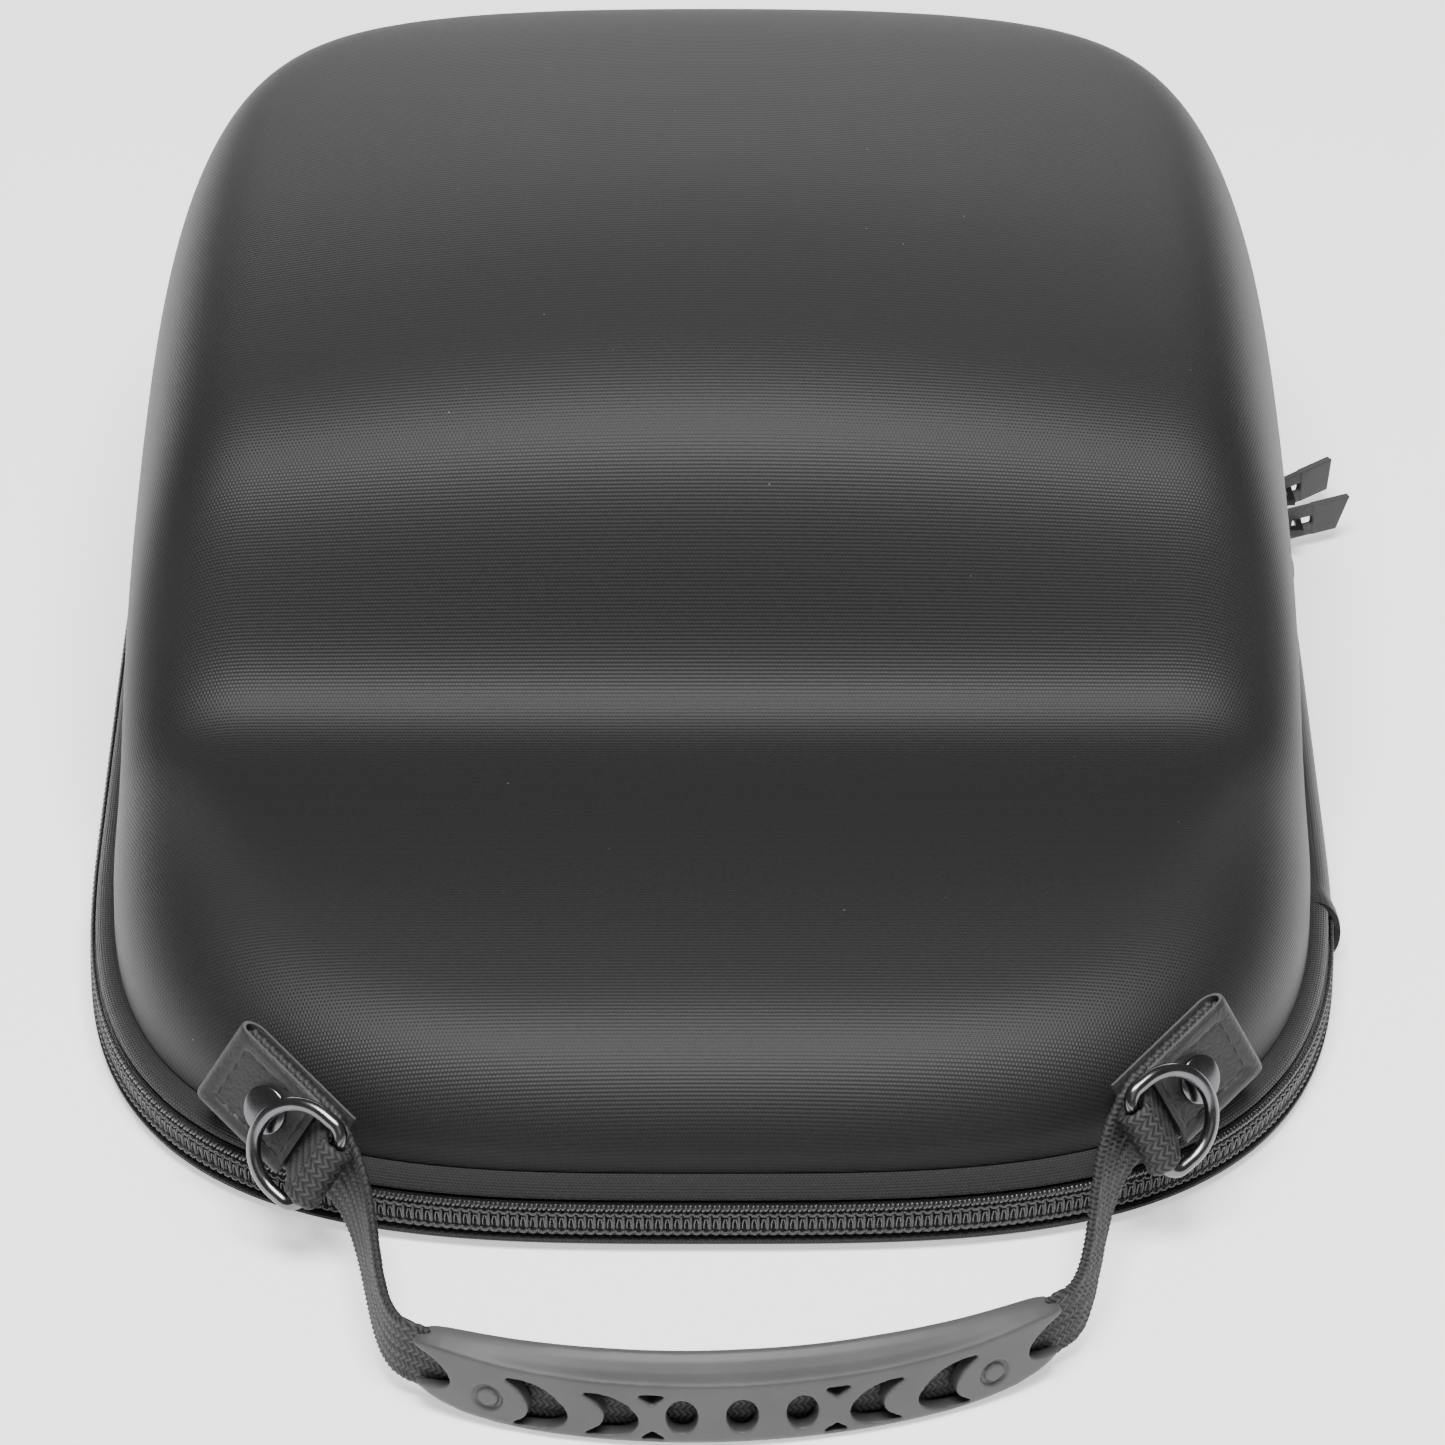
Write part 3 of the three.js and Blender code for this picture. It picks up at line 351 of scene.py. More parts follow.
BASE_SECTION = [
    (BASE_ROUND, 0, 1), (BASE_ROUND, 0, 0.5), (BASE_ROUND, 0, 0), (BASE_ROUND * 0.72, BASE_ROUND * 0.03, 0),
    (BASE_ROUND * 0.46, BASE_ROUND * 0.12, 0), (BASE_ROUND * 0.26, BASE_ROUND * 0.26, 0),
    (BASE_ROUND * 0.11, BASE_ROUND * 0.46, 0), (BASE_ROUND * 0.03, BASE_ROUND * 0.72, 0),
    (0, BASE_ROUND, 0), (0, BASE_RIM - 0.5, 0), (0.5, BASE_RIM, 0), (BASE_WALL - 0.5, BASE_RIM, 0),
    (BASE_WALL, BASE_RIM - 0.5, 0), (BASE_WALL, BASE_ROUND, 0), (BASE_WALL + 3, BASE_WALL + 0.9, 0),
    (BASE_WALL + BASE_ROUND, BASE_WALL, 0), (BASE_WALL + BASE_ROUND, BASE_WALL, 1),
]
base_stations = edge_stations(BASE_POINTS)


def base_place(step, i):
    inset, up, share = BASE_SECTION[step]
    x, y, nx, ny = base_stations[i]
    x, y = x - nx * inset, y - ny * inset
    middle = limited(y, FRONT + FRONT_FAN, BACK - BACK_FAN)
    return (x * (1 - share), mix(y, middle, share), up)


base = drawn_out("base_shell", BASE_POINTS, len(BASE_SECTION), base_place, filled=False)
lay_pattern(base, BASE_POINTS, lambda step, i: base_place(step, i % BASE_POINTS)[:2])
closed_up(base)
smoothed(base, 50)
base.data.materials.append(shell_knit)
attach(base, "case")
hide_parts("bottom_shell")


# Upper shell
# The tall half: the same fabric-covered foam board, pressed over a mould into a low brim
# end and a high crown end that run into each other over one soft crease.
FOOT_HEIGHT = 13.0
SHELL_WALL = 3.2
BRIM_HEIGHT = 39.0
CROWN_HEIGHT = 96.5
SHOULDER = 25.0
BRIM_SHOULDER_POWER = 2.6
CROWN_SHOULDER_POWER = 3.1
CROWN_DOME = 0.16
SHELL_POINTS = 272
SHELL_RINGS = 44
RING_GROWTH = 1.085
CREASE_DENSITY = 2.0
SIDE_PROFILE = [
    (0, 26.0), (0.03, 31.0), (0.104, 36.0), (0.189, 39.0), (0.274, 38.2), (0.33, 38.6), (0.367, 49.0),
    (0.404, 71.0), (0.452, 84.0), (0.537, 91.5), (0.663, 96.5), (0.848, 94.0), (0.933, 89.0), (1, 80.1),
]


def profile_curve():
    rows = [Vector((FRONT + along * CASE_LENGTH, up)) for along, up in SIDE_PROFILE]
    padded = [rows[0]] * 2 + rows + [rows[-1]] * 2
    curve = []
    steps = 24
    for i in range(len(padded) - 3):
        for k in range(steps):
            t = k / steps
            blend = ((1 - t) ** 3, 3 * t ** 3 - 6 * t * t + 4, -3 * t ** 3 + 3 * t * t + 3 * t + 1, t ** 3)
            curve.append(sum((padded[i + j] * w / 6 for j, w in enumerate(blend)), Vector((0, 0))))
    return curve


def run_lengths(points):
    """The distance from the first point to each point, along the line through them."""
    lengths = [0.0]
    for a, b in zip(points, points[1:]):
        lengths.append(lengths[-1] + math.hypot(*(q - p for p, q in zip(a, b))))
    return lengths


profile = profile_curve()
profile_length = run_lengths(profile)


def on_profile(y, values):
    low, high = 0, len(profile) - 2
    while low < high:
        middle = (low + high + 1) // 2
        if profile[middle].x <= y:
            low = middle
        else:
            high = middle - 1
    span = profile[low + 1].x - profile[low].x
    return mix(values[low], values[low + 1], limited((y - profile[low].x) / span, 0, 1))


profile_heights = [p.y for p in profile]


def top_height(y):
    return on_profile(y, profile_heights)


def shell_point(station, share):
    x0, y0 = station[:2]
    middle = limited(y0, FRONT + FRONT_FAN, BACK - BACK_FAN)
    x, y = x0 * (1 - share), mix(y0, middle, share)
    top = top_height(y)
    crown = limited((top - BRIM_HEIGHT) / (CROWN_HEIGHT - BRIM_HEIGHT), 0, 1)
    power = mix(BRIM_SHOULDER_POWER, CROWN_SHOULDER_POWER, crown)
    inward = share * math.hypot(x0, y0 - middle)
    fall = 1 - limited(inward / SHOULDER, 0, 1)
    rise = (1 - fall ** power) ** (1 / power)
    dome = 1 - CROWN_DOME * crown * (x / (CASE_WIDTH / 2)) ** 2
    return (x, y, FOOT_HEIGHT + (top - FOOT_HEIGHT) * rise * dome)


shell_stations = edge_stations(SHELL_POINTS, CREASE_DENSITY)
shell_shares = [0.0]
for ring in range(SHELL_RINGS):
    shell_shares.append(shell_shares[-1] + RING_GROWTH ** ring)
shell_shares = [s / shell_shares[-1] for s in shell_shares]
shell_places = [[shell_point(station, share) for station in shell_stations] for share in shell_shares]
shell_run = [[0.0] * len(shell_stations) for _ in shell_shares]
for ring in range(len(shell_shares) - 2, -1, -1):
    for i in range(len(shell_stations)):
        here, above = Vector(shell_places[ring][i]), Vector(shell_places[ring + 1][i])
        shell_run[ring][i] = shell_run[ring + 1][i] + (here - above).length


def shell_flat(step, i):
    i %= len(shell_stations)
    x, y = shell_stations[i][:2]
    middle = limited(y, FRONT + FRONT_FAN, BACK - BACK_FAN)
    way = Vector((x, y - middle)).normalized()
    return (way.x * shell_run[step][i], on_profile(middle, profile_length) + way.y * shell_run[step][i])


upper = drawn_out(
    "upper_shell", SHELL_POINTS, len(shell_shares), lambda step, i: shell_places[step][i], filled=False,
)
lay_pattern(upper, SHELL_POINTS, shell_flat)
closed_up(upper)
wall = upper.modifiers.new("wall", "SOLIDIFY")
wall.thickness = SHELL_WALL * MM
wall.offset = -1
apply_modifiers(upper)
smoothed(upper, 50)
upper.data.materials.append(shell_knit)
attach(upper, "case")
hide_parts("top_shell")


# Zip tapes
# Two woven polyester tapes, one sewn inside each shell's edge. The upper one rolls out
# over the coil as a soft band and the lower one shows as a thin lip under it.
HINGE_FROM = FRONT + 74.0
HINGE_TO = HINGE_FROM + 112.0
ZIP_STEP = 2.6
EDGE_POINTS = 2400
TUCKED_IN = 3.0
TAPE_BLACK = (0.017, 0.017, 0.018, 1.0)
TAPE_UPPER = [
    (-2.9, 12.7), (-0.6, 12.7), (0.5, 12.68), (1.6, 12.35), (2.6, 11.6), (3.15, 10.8), (3.3, 10.1),
    (3.0, 9.66), (2.55, 9.75), (1.9, 10.5), (1.0, 11.3), (0, 11.68), (-1.2, 11.7), (-2.9, 11.7),
]
TAPE_LOWER = [
    (0.3, 2.55), (2.0, 2.6), (4.0, 2.6), (4.45, 2.4), (4.5, 2.1), (4.3, 1.7), (3.8, 1.6), (2.0, 1.6),
    (0.3, 1.6),
]
fine_edge = edge_stations(EDGE_POINTS)


def edge_walk(offset, spacing, skip_from, skip_to):
    """Evenly spaced places on the outline, moved out by offset, from the hinge's rear end
    round the back, left and front to its front end."""
    ring = [(x + nx * offset, y + ny * offset, nx, ny) for x, y, nx, ny in fine_edge]
    past = next(i for i, p in enumerate(ring) if p[0] > 0 and p[1] > skip_to)
    run = ring[past:] + ring[:past]
    leftward = next(i for i, p in enumerate(run) if p[0] < 0)
    last = next(i for i, p in enumerate(run) if i > leftward and p[0] > 0 and p[1] > skip_from)
    return evenly(run[:last], spacing)


def evenly(run, spacing):
    length = run_lengths([p[:2] for p in run])
    count = max(2, round(length[-1] / spacing))
    placed = []
    at = 0
    for k in range(count + 1):
        goal = length[-1] * k / count
        while at < len(run) - 2 and length[at + 1] < goal:
            at += 1
        share = limited((goal - length[at]) / (length[at + 1] - length[at]), 0, 1)
        placed.append(tuple(mix(p, q, share) for p, q in zip(run[at], run[at + 1])))
    return placed


def edge_strip(name, path, section, swell=lambda step: 0):
    steps = len(path)
    girth = run_lengths(section + section[:1])

    def place(step, i):
        x, y, nx, ny = path[step]
        out, up = section[i]
        out += swell(step) * limited(out, 0, 1)
        return (x + nx * out, y + ny * out, up)

    spacing = math.hypot(path[1][0] - path[0][0], path[1][1] - path[0][1])
    piece = drawn_out(name, len(section), steps, place)
    around = len(section)
    lay_pattern(piece, around, lambda step, i: (
        step * spacing, girth[i % around] + girth[-1] * (i // around),
    ))
    closed_up(piece)
    return smoothed(piece, 50)


zip_path = edge_walk(0, ZIP_STEP, HINGE_FROM + TUCKED_IN, HINGE_TO - TUCKED_IN)
tape_weave = cloth_material(
    "zip_tape_weave", TAPE_BLACK, roughness=0.8, sheen=0.2, depth=0.18, row=0.5, loop=0.62, speck=0.15,
)
for tape_name, section, node_name in (
    ("tape_upper", TAPE_UPPER, "zip_tape_upper"),
    ("tape_lower", TAPE_LOWER, "zip_tape_lower"),
):
    tape = edge_strip(tape_name, zip_path, section)
    tape.data.materials.append(tape_weave)
    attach(tape, "case")
    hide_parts(node_name)


# Zip coil
# The closed nylon coil: a woven core band, glossy coil heads along the top, upright
# interlocked loops below them, and a chain stitch along both edges that holds the coil.
ZIP_BULGE = 4.3
COIL_TOP = 9.3
COIL_FOOT = 2.9
COIL_BACK = 2.6
COIL_PITCH = 1.55
COIL_CORE = [
    (COIL_BACK, COIL_FOOT + 0.2), (COIL_BACK + 0.9, COIL_FOOT + 0.1), (COIL_BACK + 1.2, COIL_FOOT + 0.6),
    (COIL_BACK + 1.15, 5.0), (COIL_BACK + 0.9, 7.6), (COIL_BACK + 0.35, COIL_TOP - 0.3),
    (COIL_BACK, COIL_TOP - 0.3),
]
core = edge_strip("coil_core", zip_path, COIL_CORE)
core.data.materials.append(tape_weave)


def small_bar(points, radius, sides=6):
    """A thin rounded bar through points (along, out, up), as verts and faces."""
    verts, faces = [], []
    for k, centre in enumerate(points):
        before, after = points[max(k - 1, 0)], points[min(k + 1, len(points) - 1)]
        way = (Vector(after) - Vector(before)).normalized()
        side = way.cross(Vector((0, 1, 0)))
        if side.length < 0.1:
            side = way.cross(Vector((1, 0, 0)))
        side.normalize()
        other = way.cross(side)
        for s in range(sides):
            turn = math.tau * s / sides
            rim = side * (radius * math.cos(turn)) + other * (radius * math.sin(turn))
            verts.append(Vector(centre) + rim)
    for k in range(len(points) - 1):
        for s in range(sides):
            a, b = k * sides + s, k * sides + (s + 1) % sides
            faces.append((a, b, b + sides, a + sides))
    faces.append(tuple(reversed(range(sides))))
    faces.append(tuple(range((len(points) - 1) * sides, len(points) * sides)))
    return verts, faces


def repeated(name, path, bars):
    """Copies small bars, given as (points, radius), to each place on the path, as one mesh."""
    verts, faces = [], []
    for x, y, nx, ny in path:
        for points, radius in bars:
            bar_verts, bar_faces = small_bar(points, radius)
            start = len(verts)
            for v in bar_verts:
                across, along = x - ny * v.x + nx * v.y, y + nx * v.x + ny * v.y
                verts.append((across * MM, along * MM, v.z * MM))
            faces += [tuple(start + n for n in face) for face in bar_faces]
    mesh = bpy.data.meshes.new(name)
    mesh.from_pydata(verts, [], faces)
    piece = bpy.data.objects.new(name, mesh)
    bpy.context.collection.objects.link(piece)
    pick(piece)
    closed_up(piece, 0.0001)
    return smoothed(piece, 60)


def uneven_gloss(tree, amount, low, high):
    """Lets the roughness wander from low to high."""
    spread = node(tree, "MapRange")
    spread.inputs["To Min"].default_value = low
    spread.inputs["To Max"].default_value = high
    tree.links.new(amount, spread.inputs["Value"])
    tree.links.new(spread.outputs[0], tree.nodes["Principled BSDF"].inputs["Roughness"])


def grey(value, blue):
    return (value, value, blue, 1)


def shades(tree, amount, dark, light, start=0, end=1):
    """A colour that goes from dark to light as amount goes from start to end."""
    ramp = node(tree, "ValToRGB")
    for stop, place, colour in zip(ramp.color_ramp.elements, (start, end), (dark, light)):
        stop.position = place
        stop.color = colour
    tree.links.new(amount, ramp.inputs[0])
    return ramp.outputs[0]


nylon, tree, bsdf = shader("black_nylon")
constants(bsdf, Base_Color=grey(0.028, 0.03), Specular_IOR_Level=0.7)
uneven_gloss(tree, noise(tree, own_place(tree), 900), 0.16, 0.4)

coil_path = edge_walk(ZIP_BULGE - 0.3, COIL_PITCH, HINGE_FROM + 2, HINGE_TO - 2)
COIL_BARS = [
    (((-0.62, -0.25, 8.1), (-0.55, 0.0, 8.35), (-0.25, 0.02, 8.75), (-0.15, -0.3, 8.95)), 0.27),
    (((0.10, -0.25, 8.2), (0.17, 0.0, 8.45), (0.47, 0.02, 8.85), (0.57, -0.3, 9.05)), 0.27),
    ((
        (-0.42, -0.1, 4.6), (-0.40, 0.12, 5.8), (-0.22, 0.18, 6.75),
        (0.10, 0.18, 6.75), (0.28, 0.12, 5.8), (0.30, -0.1, 4.6),
    ), 0.17),
]
STITCH_BARS = [
    (((-0.75, -0.02, 7.7), (-0.35, 0.12, 7.35), (0.15, 0.14, 7.3), (0.62, 0.02, 7.65)), 0.23),
    (((-0.75, 0.1, 4.3), (-0.40, 0.24, 3.85), (0.10, 0.26, 3.8), (0.60, 0.12, 4.15)), 0.25),
    (((0.52, -0.1, 4.5), (0.55, 0.2, 5.4), (0.55, 0.22, 6.2), (0.52, 0.0, 7.2)), 0.22),
]
coils = repeated("coil_turns", coil_path, COIL_BARS)
coils.data.materials.append(nylon)


def thread_material(name, dark, light):
    material, tree, bsdf = shader(name)
    constants(bsdf, Roughness=0.7, Sheen_Weight=0.2)
    strands = noise(tree, own_place(tree), 2600)
    tone = shades(tree, strands, grey(dark, dark), grey(light, light * 1.04))
    tree.links.new(tone, bsdf.inputs["Base Color"])
    return material


chain_thread = thread_material("chain_thread", 0.014, 0.048)
stitches = repeated("coil_stitches", coil_path, STITCH_BARS)
stitches.data.materials.append(chain_thread)
for piece in (core, coils, stitches):
    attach(piece, "case")
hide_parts("zip_coil")


# Hinge strip
# Where the zip stops on the right-hand side, one band of the shell's fabric is sewn to
# both halves and bends as the hinge.
HINGE = [
    (-2.9, 12.7), (-0.4, 12.7), (0.8, 12.6), (1.9, 12.0), (2.9, 11.0), (3.6, 9.8), (4.1, 8.2),
    (4.3, 6.5), (4.25, 5.0), (4.0, 3.6), (3.5, 2.4), (2.8, 1.7), (1.6, 1.6), (0.3, 1.6), (0.3, 2.6),
    (1.8, 2.6), (2.6, 2.9), (3.1, 4.0), (3.3, 5.2), (3.3, 6.5), (3.15, 7.9), (2.7, 9.2), (2.0, 10.3),
    (1.2, 11.2), (0.2, 11.6), (-1.0, 11.7), (-2.9, 11.7),
]
HINGE_STEP = 1.0
END_SWELL = 1.3
SWELL_STEPS = 7
right_edge = [p for p in fine_edge if p[0] > 0 and HINGE_FROM < p[1] < HINGE_TO]
hinge_path = evenly(right_edge, HINGE_STEP)


def over_the_zip(step):
    """How far the band's ends swell out to cover the ends of the zip."""
    from_end = min(step, len(hinge_path) - 1 - step)
    share = limited(1 - from_end / SWELL_STEPS, 0, 1)
    return END_SWELL * share * share * (3 - 2 * share)


hinge = edge_strip("hinge_band", hinge_path, HINGE, over_the_zip)
hinge.data.materials.append(shell_knit)
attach(hinge, "case")
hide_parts("hinge_strip")


# Sliders and pulls
# Two enamelled sliders stand side by side at the hinge's rear end of the zip, each with a
# flat pull of grey faux leather whose slanted end has one rounded corner.
PULL_LENGTH = 12.5
PULL_WIDTH = 6.4
PULL_THICKNESS = 1.5
PULL_WINDOW = 4.8
PULL_POST = 1.1
PULL_CORNER = 1.3
PULL_VOXEL = 0.16
EYE = 0.85
# Name, post, heading of the slider plus the pull's swing, and slant of the end
PULLS = [
    ("front", Vector((107.136, 67.415, 6.1)), 4.05 + 20.0, 2.6),
    ("rear", Vector((106.221, 77.658, 6.1)), 6.3 + 32.0, 0.8),
]

enamel, tree, bsdf = shader("black_enamel")
constants(bsdf, Metallic=0.6, Base_Color=grey(0.03, 0.032))
uneven_gloss(tree, noise(tree, own_place(tree), 1500), 0.22, 0.5)
for slider in ("slider_front", "slider_rear"):
    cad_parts[slider].data.materials.clear()
    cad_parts[slider].data.materials.append(enamel)


def grain_effect():
    """Fine pebbled leather grain with shallow creases."""
    tree, given, out = effect_group("leather_grain", {"Place": None, "Pebble": 1900.0}, ["Height", "Tone"])
    pebbles = node(tree, "TexVoronoi", feature="SMOOTH_F1")
    tree.links.new(given.outputs["Place"], pebbles.inputs["Vector"])
    tree.links.new(given.outputs["Pebble"], pebbles.inputs["Scale"])
    broad = sum_of(tree, "MULTIPLY", noise(tree, given.outputs["Place"], 260, 5), 0.5)
    pits = sum_of(tree, "MULTIPLY", pebbles.outputs["Distance"], -0.6)
    tree.links.new(sum_of(tree, "ADD", pits, broad), out.inputs["Height"])
    tree.links.new(sum_of(tree, "ADD", broad, 0.75), out.inputs["Tone"])
    return tree


leather_grain = grain_effect()


def leather_material(name, colour, roughness=0.55, relief=0.06):
    material, tree, bsdf = shader(name)
    grain = place_group(tree, leather_grain, "Place", own_place(tree))
    tree.links.new(multiplied(tree, colour, grain.outputs["Tone"]), bsdf.inputs["Base Color"])
    raise_surface(tree, grain.outputs["Height"], 0.7, relief)
    bsdf.inputs["Roughness"].default_value = roughness
    return material


pull_leather = leather_material("pull_leather", grey(0.035, 0.037), 0.7)


def box_piece(low, high):
    deselect_all()
    bpy.ops.mesh.primitive_cube_add(size=1)
    piece = bpy.context.object
    middle, size = (Vector(low) + Vector(high)) / 2, Vector(high) - Vector(low)
    piece.data.transform(Matrix.Translation(middle * MM) @ Matrix.Diagonal((*(size * MM), 1)))
    return piece


def joined(pieces, name):
    deselect_all()
    for piece in pieces:
        piece.select_set(True)
    bpy.context.view_layer.objects.active = pieces[0]
    bpy.ops.object.join()
    piece = bpy.context.object
    piece.name = name
    piece.data.name = name
    return piece


def melted(piece, voxel, rounds):
    """Makes one skin of a piece's parts, voxel millimetres fine, and softens its edges."""
    skin = piece.modifiers.new("skin", "REMESH")
    skin.mode = "VOXEL"
    skin.voxel_size = voxel * MM
    soften = piece.modifiers.new("soften", "SMOOTH")
    soften.factor = 0.5
    soften.iterations = rounds
    apply_modifiers(piece)


for pull_name, post, swing, slant in PULLS:
    half = PULL_WIDTH / 2
    thick, post_half = PULL_THICKNESS / 2, PULL_POST / 2
    strip = box_piece((PULL_WINDOW, -thick, -half), (PULL_LENGTH, thick, half))
    bpy.ops.object.mode_set(mode="EDIT")
    mesh = bmesh.from_edit_mesh(strip.data)
    for vert in mesh.verts:
        if vert.co.x > (PULL_LENGTH - 1) * MM and vert.co.z < 0:
            vert.co.x -= slant * MM
    for edge in mesh.edges:
        edge.select = all(v.co.x > (PULL_LENGTH - slant - 1) * MM and v.co.z < 0 for v in edge.verts)
    mesh.select_flush_mode()
    bmesh.update_edit_mesh(strip.data)
    bpy.ops.mesh.bevel(offset=PULL_CORNER * MM, segments=6, affect="EDGES")
    bpy.ops.object.mode_set(mode="OBJECT")
    post_bar = box_piece((-post_half, -post_half, -half), (post_half, post_half, half))
    arms = [
        box_piece((0, -post_half, EYE), (PULL_WINDOW + 0.5, post_half, half)),
        box_piece((0, -post_half, -half), (PULL_WINDOW + 0.5, post_half, -EYE)),
    ]
    pull = joined([strip, post_bar] + arms, f"puller_{pull_name}_strip")
    melted(pull, PULL_VOXEL, 5)
    turned = Matrix.Rotation(math.radians(swing), 4, "Z")
    pull.data.transform(Matrix.Translation(post * MM) @ turned)
    smoothed(pull, 60)
    pull.data.materials.append(pull_leather)
    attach(pull, f"puller_{pull_name}")
    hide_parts(f"pull_{pull_name}")


# Tabs
# A piece of faux leather folded round the end of the handle's webbing on each front
# corner, pressed and stitched in a rectangle, with pale cut edges.
TAB_LENGTH = 24.0
TAB_OPEN = 4.0
TAB_WIDTH = 14.6
LEATHER = 0.9
WEBBING = 1.4
GAP = 0.3
RIVET_FROM_FOLD = 12.5
STRAP_LAYER = LEATHER + GAP + WEBBING / 2
KEEPER_LAYER = STRAP_LAYER + WEBBING + GAP
TAB_TOP = KEEPER_LAYER + WEBBING / 2 + GAP + LEATHER
TAB_COLUMNS = 36
UNDER_STEPS = 10
TURN_STEPS = 16
PRESSED = 0.22
STITCH_INSET = 2.4
STITCH = 1.9


class Corner:
    """A front corner's own directions: along the tab, across it and out of the shell."""

    def __init__(self, name, seat, along, across, out):
        self.name = name
        self.seat = Vector(seat)
        self.along, self.across, self.out = (Vector(v).normalized() for v in (along, across, out))

    def at(self, a, b, c):
        return self.seat + self.along * (a - RIVET_FROM_FOLD) + self.across * b + self.out * c


corners = [
    Corner(
        "left", (-68.779, -125.85, 19.667),
        (0.691, -0.638, -0.340), (0.528, 0.125, 0.840), (-0.494, -0.760, 0.423),
    ),
    Corner(
        "right", (75.148, -120.768, 21.665),
        (-0.674, -0.695, -0.250), (-0.470, 0.142, 0.871), (0.570, -0.704, 0.423),
    ),
]


def fold_path():
    """The leather's middle line, from the lower end round the fold to the upper end."""
    under = (TAB_LENGTH - 6) / UNDER_STEPS
    path = [(TAB_LENGTH - k * under, LEATHER / 2) for k in range(UNDER_STEPS + 1)]
    radius = (TAB_TOP - LEATHER) / 2
    for k in range(TURN_STEPS + 1):
        turn = -math.pi / 2 - math.pi * k / TURN_STEPS
        path.append((radius + radius * math.cos(turn), TAB_TOP / 2 + radius * math.sin(turn)))
    top_end = TAB_LENGTH - TAB_OPEN
    steps = 44
    for k in range(steps):
        path.append((radius + (top_end - radius) * (k + 1) / steps, TAB_TOP - LEATHER / 2))
    return path


def banded(name, corner, path):
    """The folded leather along path [(a, c)], with columns of points across both faces."""
    width, columns = TAB_WIDTH, TAB_COLUMNS
    count = 2 * (columns + 1)

    def place(step, i):
        a, c = path[step]
        before, after = path[max(step - 1, 0)], path[min(step + 1, len(path) - 1)]
        way = Vector((after[0] - before[0], after[1] - before[1])).normalized()
        outer = i <= columns
        b = mix(-width / 2, width / 2, (i if outer else count - 1 - i) / columns)
        edge = 1 - 0.3 * max(0, 1 - (width / 2 - abs(b)) / 0.5)
        push = (LEATHER / 2 * edge) * (1 if outer else -1)
        if outer:
            push += pressed_relief(step, a, b)
        return corner.at(a - way.y * push, b, c + way.x * push)

    spacing = run_lengths(path)
    piece = drawn_out(name, count, len(path), place)
    lay_pattern(piece, count, lambda step, i: (i * width / columns, spacing[step]))
    closed_up(piece, 0.0001)
    return piece


tab_leather = leather_material("tab_leather", grey(0.02, 0.021), 0.5, 0.2)
seam_thread = thread_material("seam_thread", 0.003, 0.01)
cut_edge = leather_material("cut_edge", grey(0.075, 0.077), 0.8, 0.05)
stitch_low, stitch_high = 3.6, TAB_LENGTH - TAB_OPEN - 1.6
stitch_half = TAB_WIDTH / 2 - STITCH_INSET


def pressed_relief(step, a, b):
    """Height of the upper leather: a raised border round a pressed field and its seam."""
    if step <= UNDER_STEPS + TURN_STEPS + 1:
        return 0.0
    inside = min(a - stitch_low, stitch_high - a, stitch_half - abs(b))
    sunk = limited(inside / 0.5 + 0.5, 0, 1)
    groove = max(0, 1 - abs(inside) / 0.45)
    from_edge = limited((TAB_WIDTH / 2 - abs(b)) / 0.8, 0, 1)
    pillow = 0.18 * limited(-inside / 2.0, 0, 1) * from_edge
    return pillow - PRESSED * sunk - 0.16 * groove


def capsule_row(name, corner, spots, radius, length):
    """Stitches: one short rounded bar for each (a, b, direction) on the tab's top."""
    made = []
    deselect_all()
    bpy.ops.mesh.primitive_uv_sphere_add(segments=8, ring_count=6, radius=1)
    first = bpy.context.object
    first.data.transform(Matrix.Diagonal((length / 2 * MM, radius * MM, radius * MM, 1)))
    for a, b, turned in spots:
        stitch = first.copy()
        stitch.data = first.data.copy()
        bpy.context.collection.objects.link(stitch)
        way = corner.across if turned else corner.along
        side = corner.out.cross(way)
        turn = Matrix((way, side, corner.out)).transposed().to_4x4()
        centre = corner.at(a, b, TAB_TOP - PRESSED - 0.05)
        stitch.data.transform(Matrix.Translation(centre * MM) @ turn)
        made.append(stitch)
    bpy.data.objects.remove(first)
    return smoothed(joined(made, name), 80)


for corner in corners:
    tab = banded(f"tab_{corner.name}_leather", corner, fold_path())
    smoothed(tab, 40)
    tab.data.materials.append(tab_leather)
    tab.data.materials.append(cut_edge)
    for face in tab.data.polygons:
        if abs(face.normal.dot(corner.across)) > 0.75:
            face.material_index = 1
    spots = []
    rows = round((stitch_high - stitch_low) / STITCH / 1.25)
    for k in range(rows):
        a = mix(stitch_low, stitch_high, (k + 0.5) / rows)
        spots += [(a, stitch_half, False), (a, -stitch_half, False)]
    rows = round(2 * stitch_half / STITCH / 1.25)
    for k in range(rows):
        b = mix(-stitch_half, stitch_half, (k + 0.5) / rows)
        spots += [(stitch_low, b, True), (stitch_high, b, True)]
    seam = capsule_row(f"tab_{corner.name}_stitching", corner, spots, 0.24, STITCH)
    seam.data.materials.append(seam_thread)
    for piece in (tab, seam):
        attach(piece, "case")
    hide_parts(f"tab_{corner.name}")


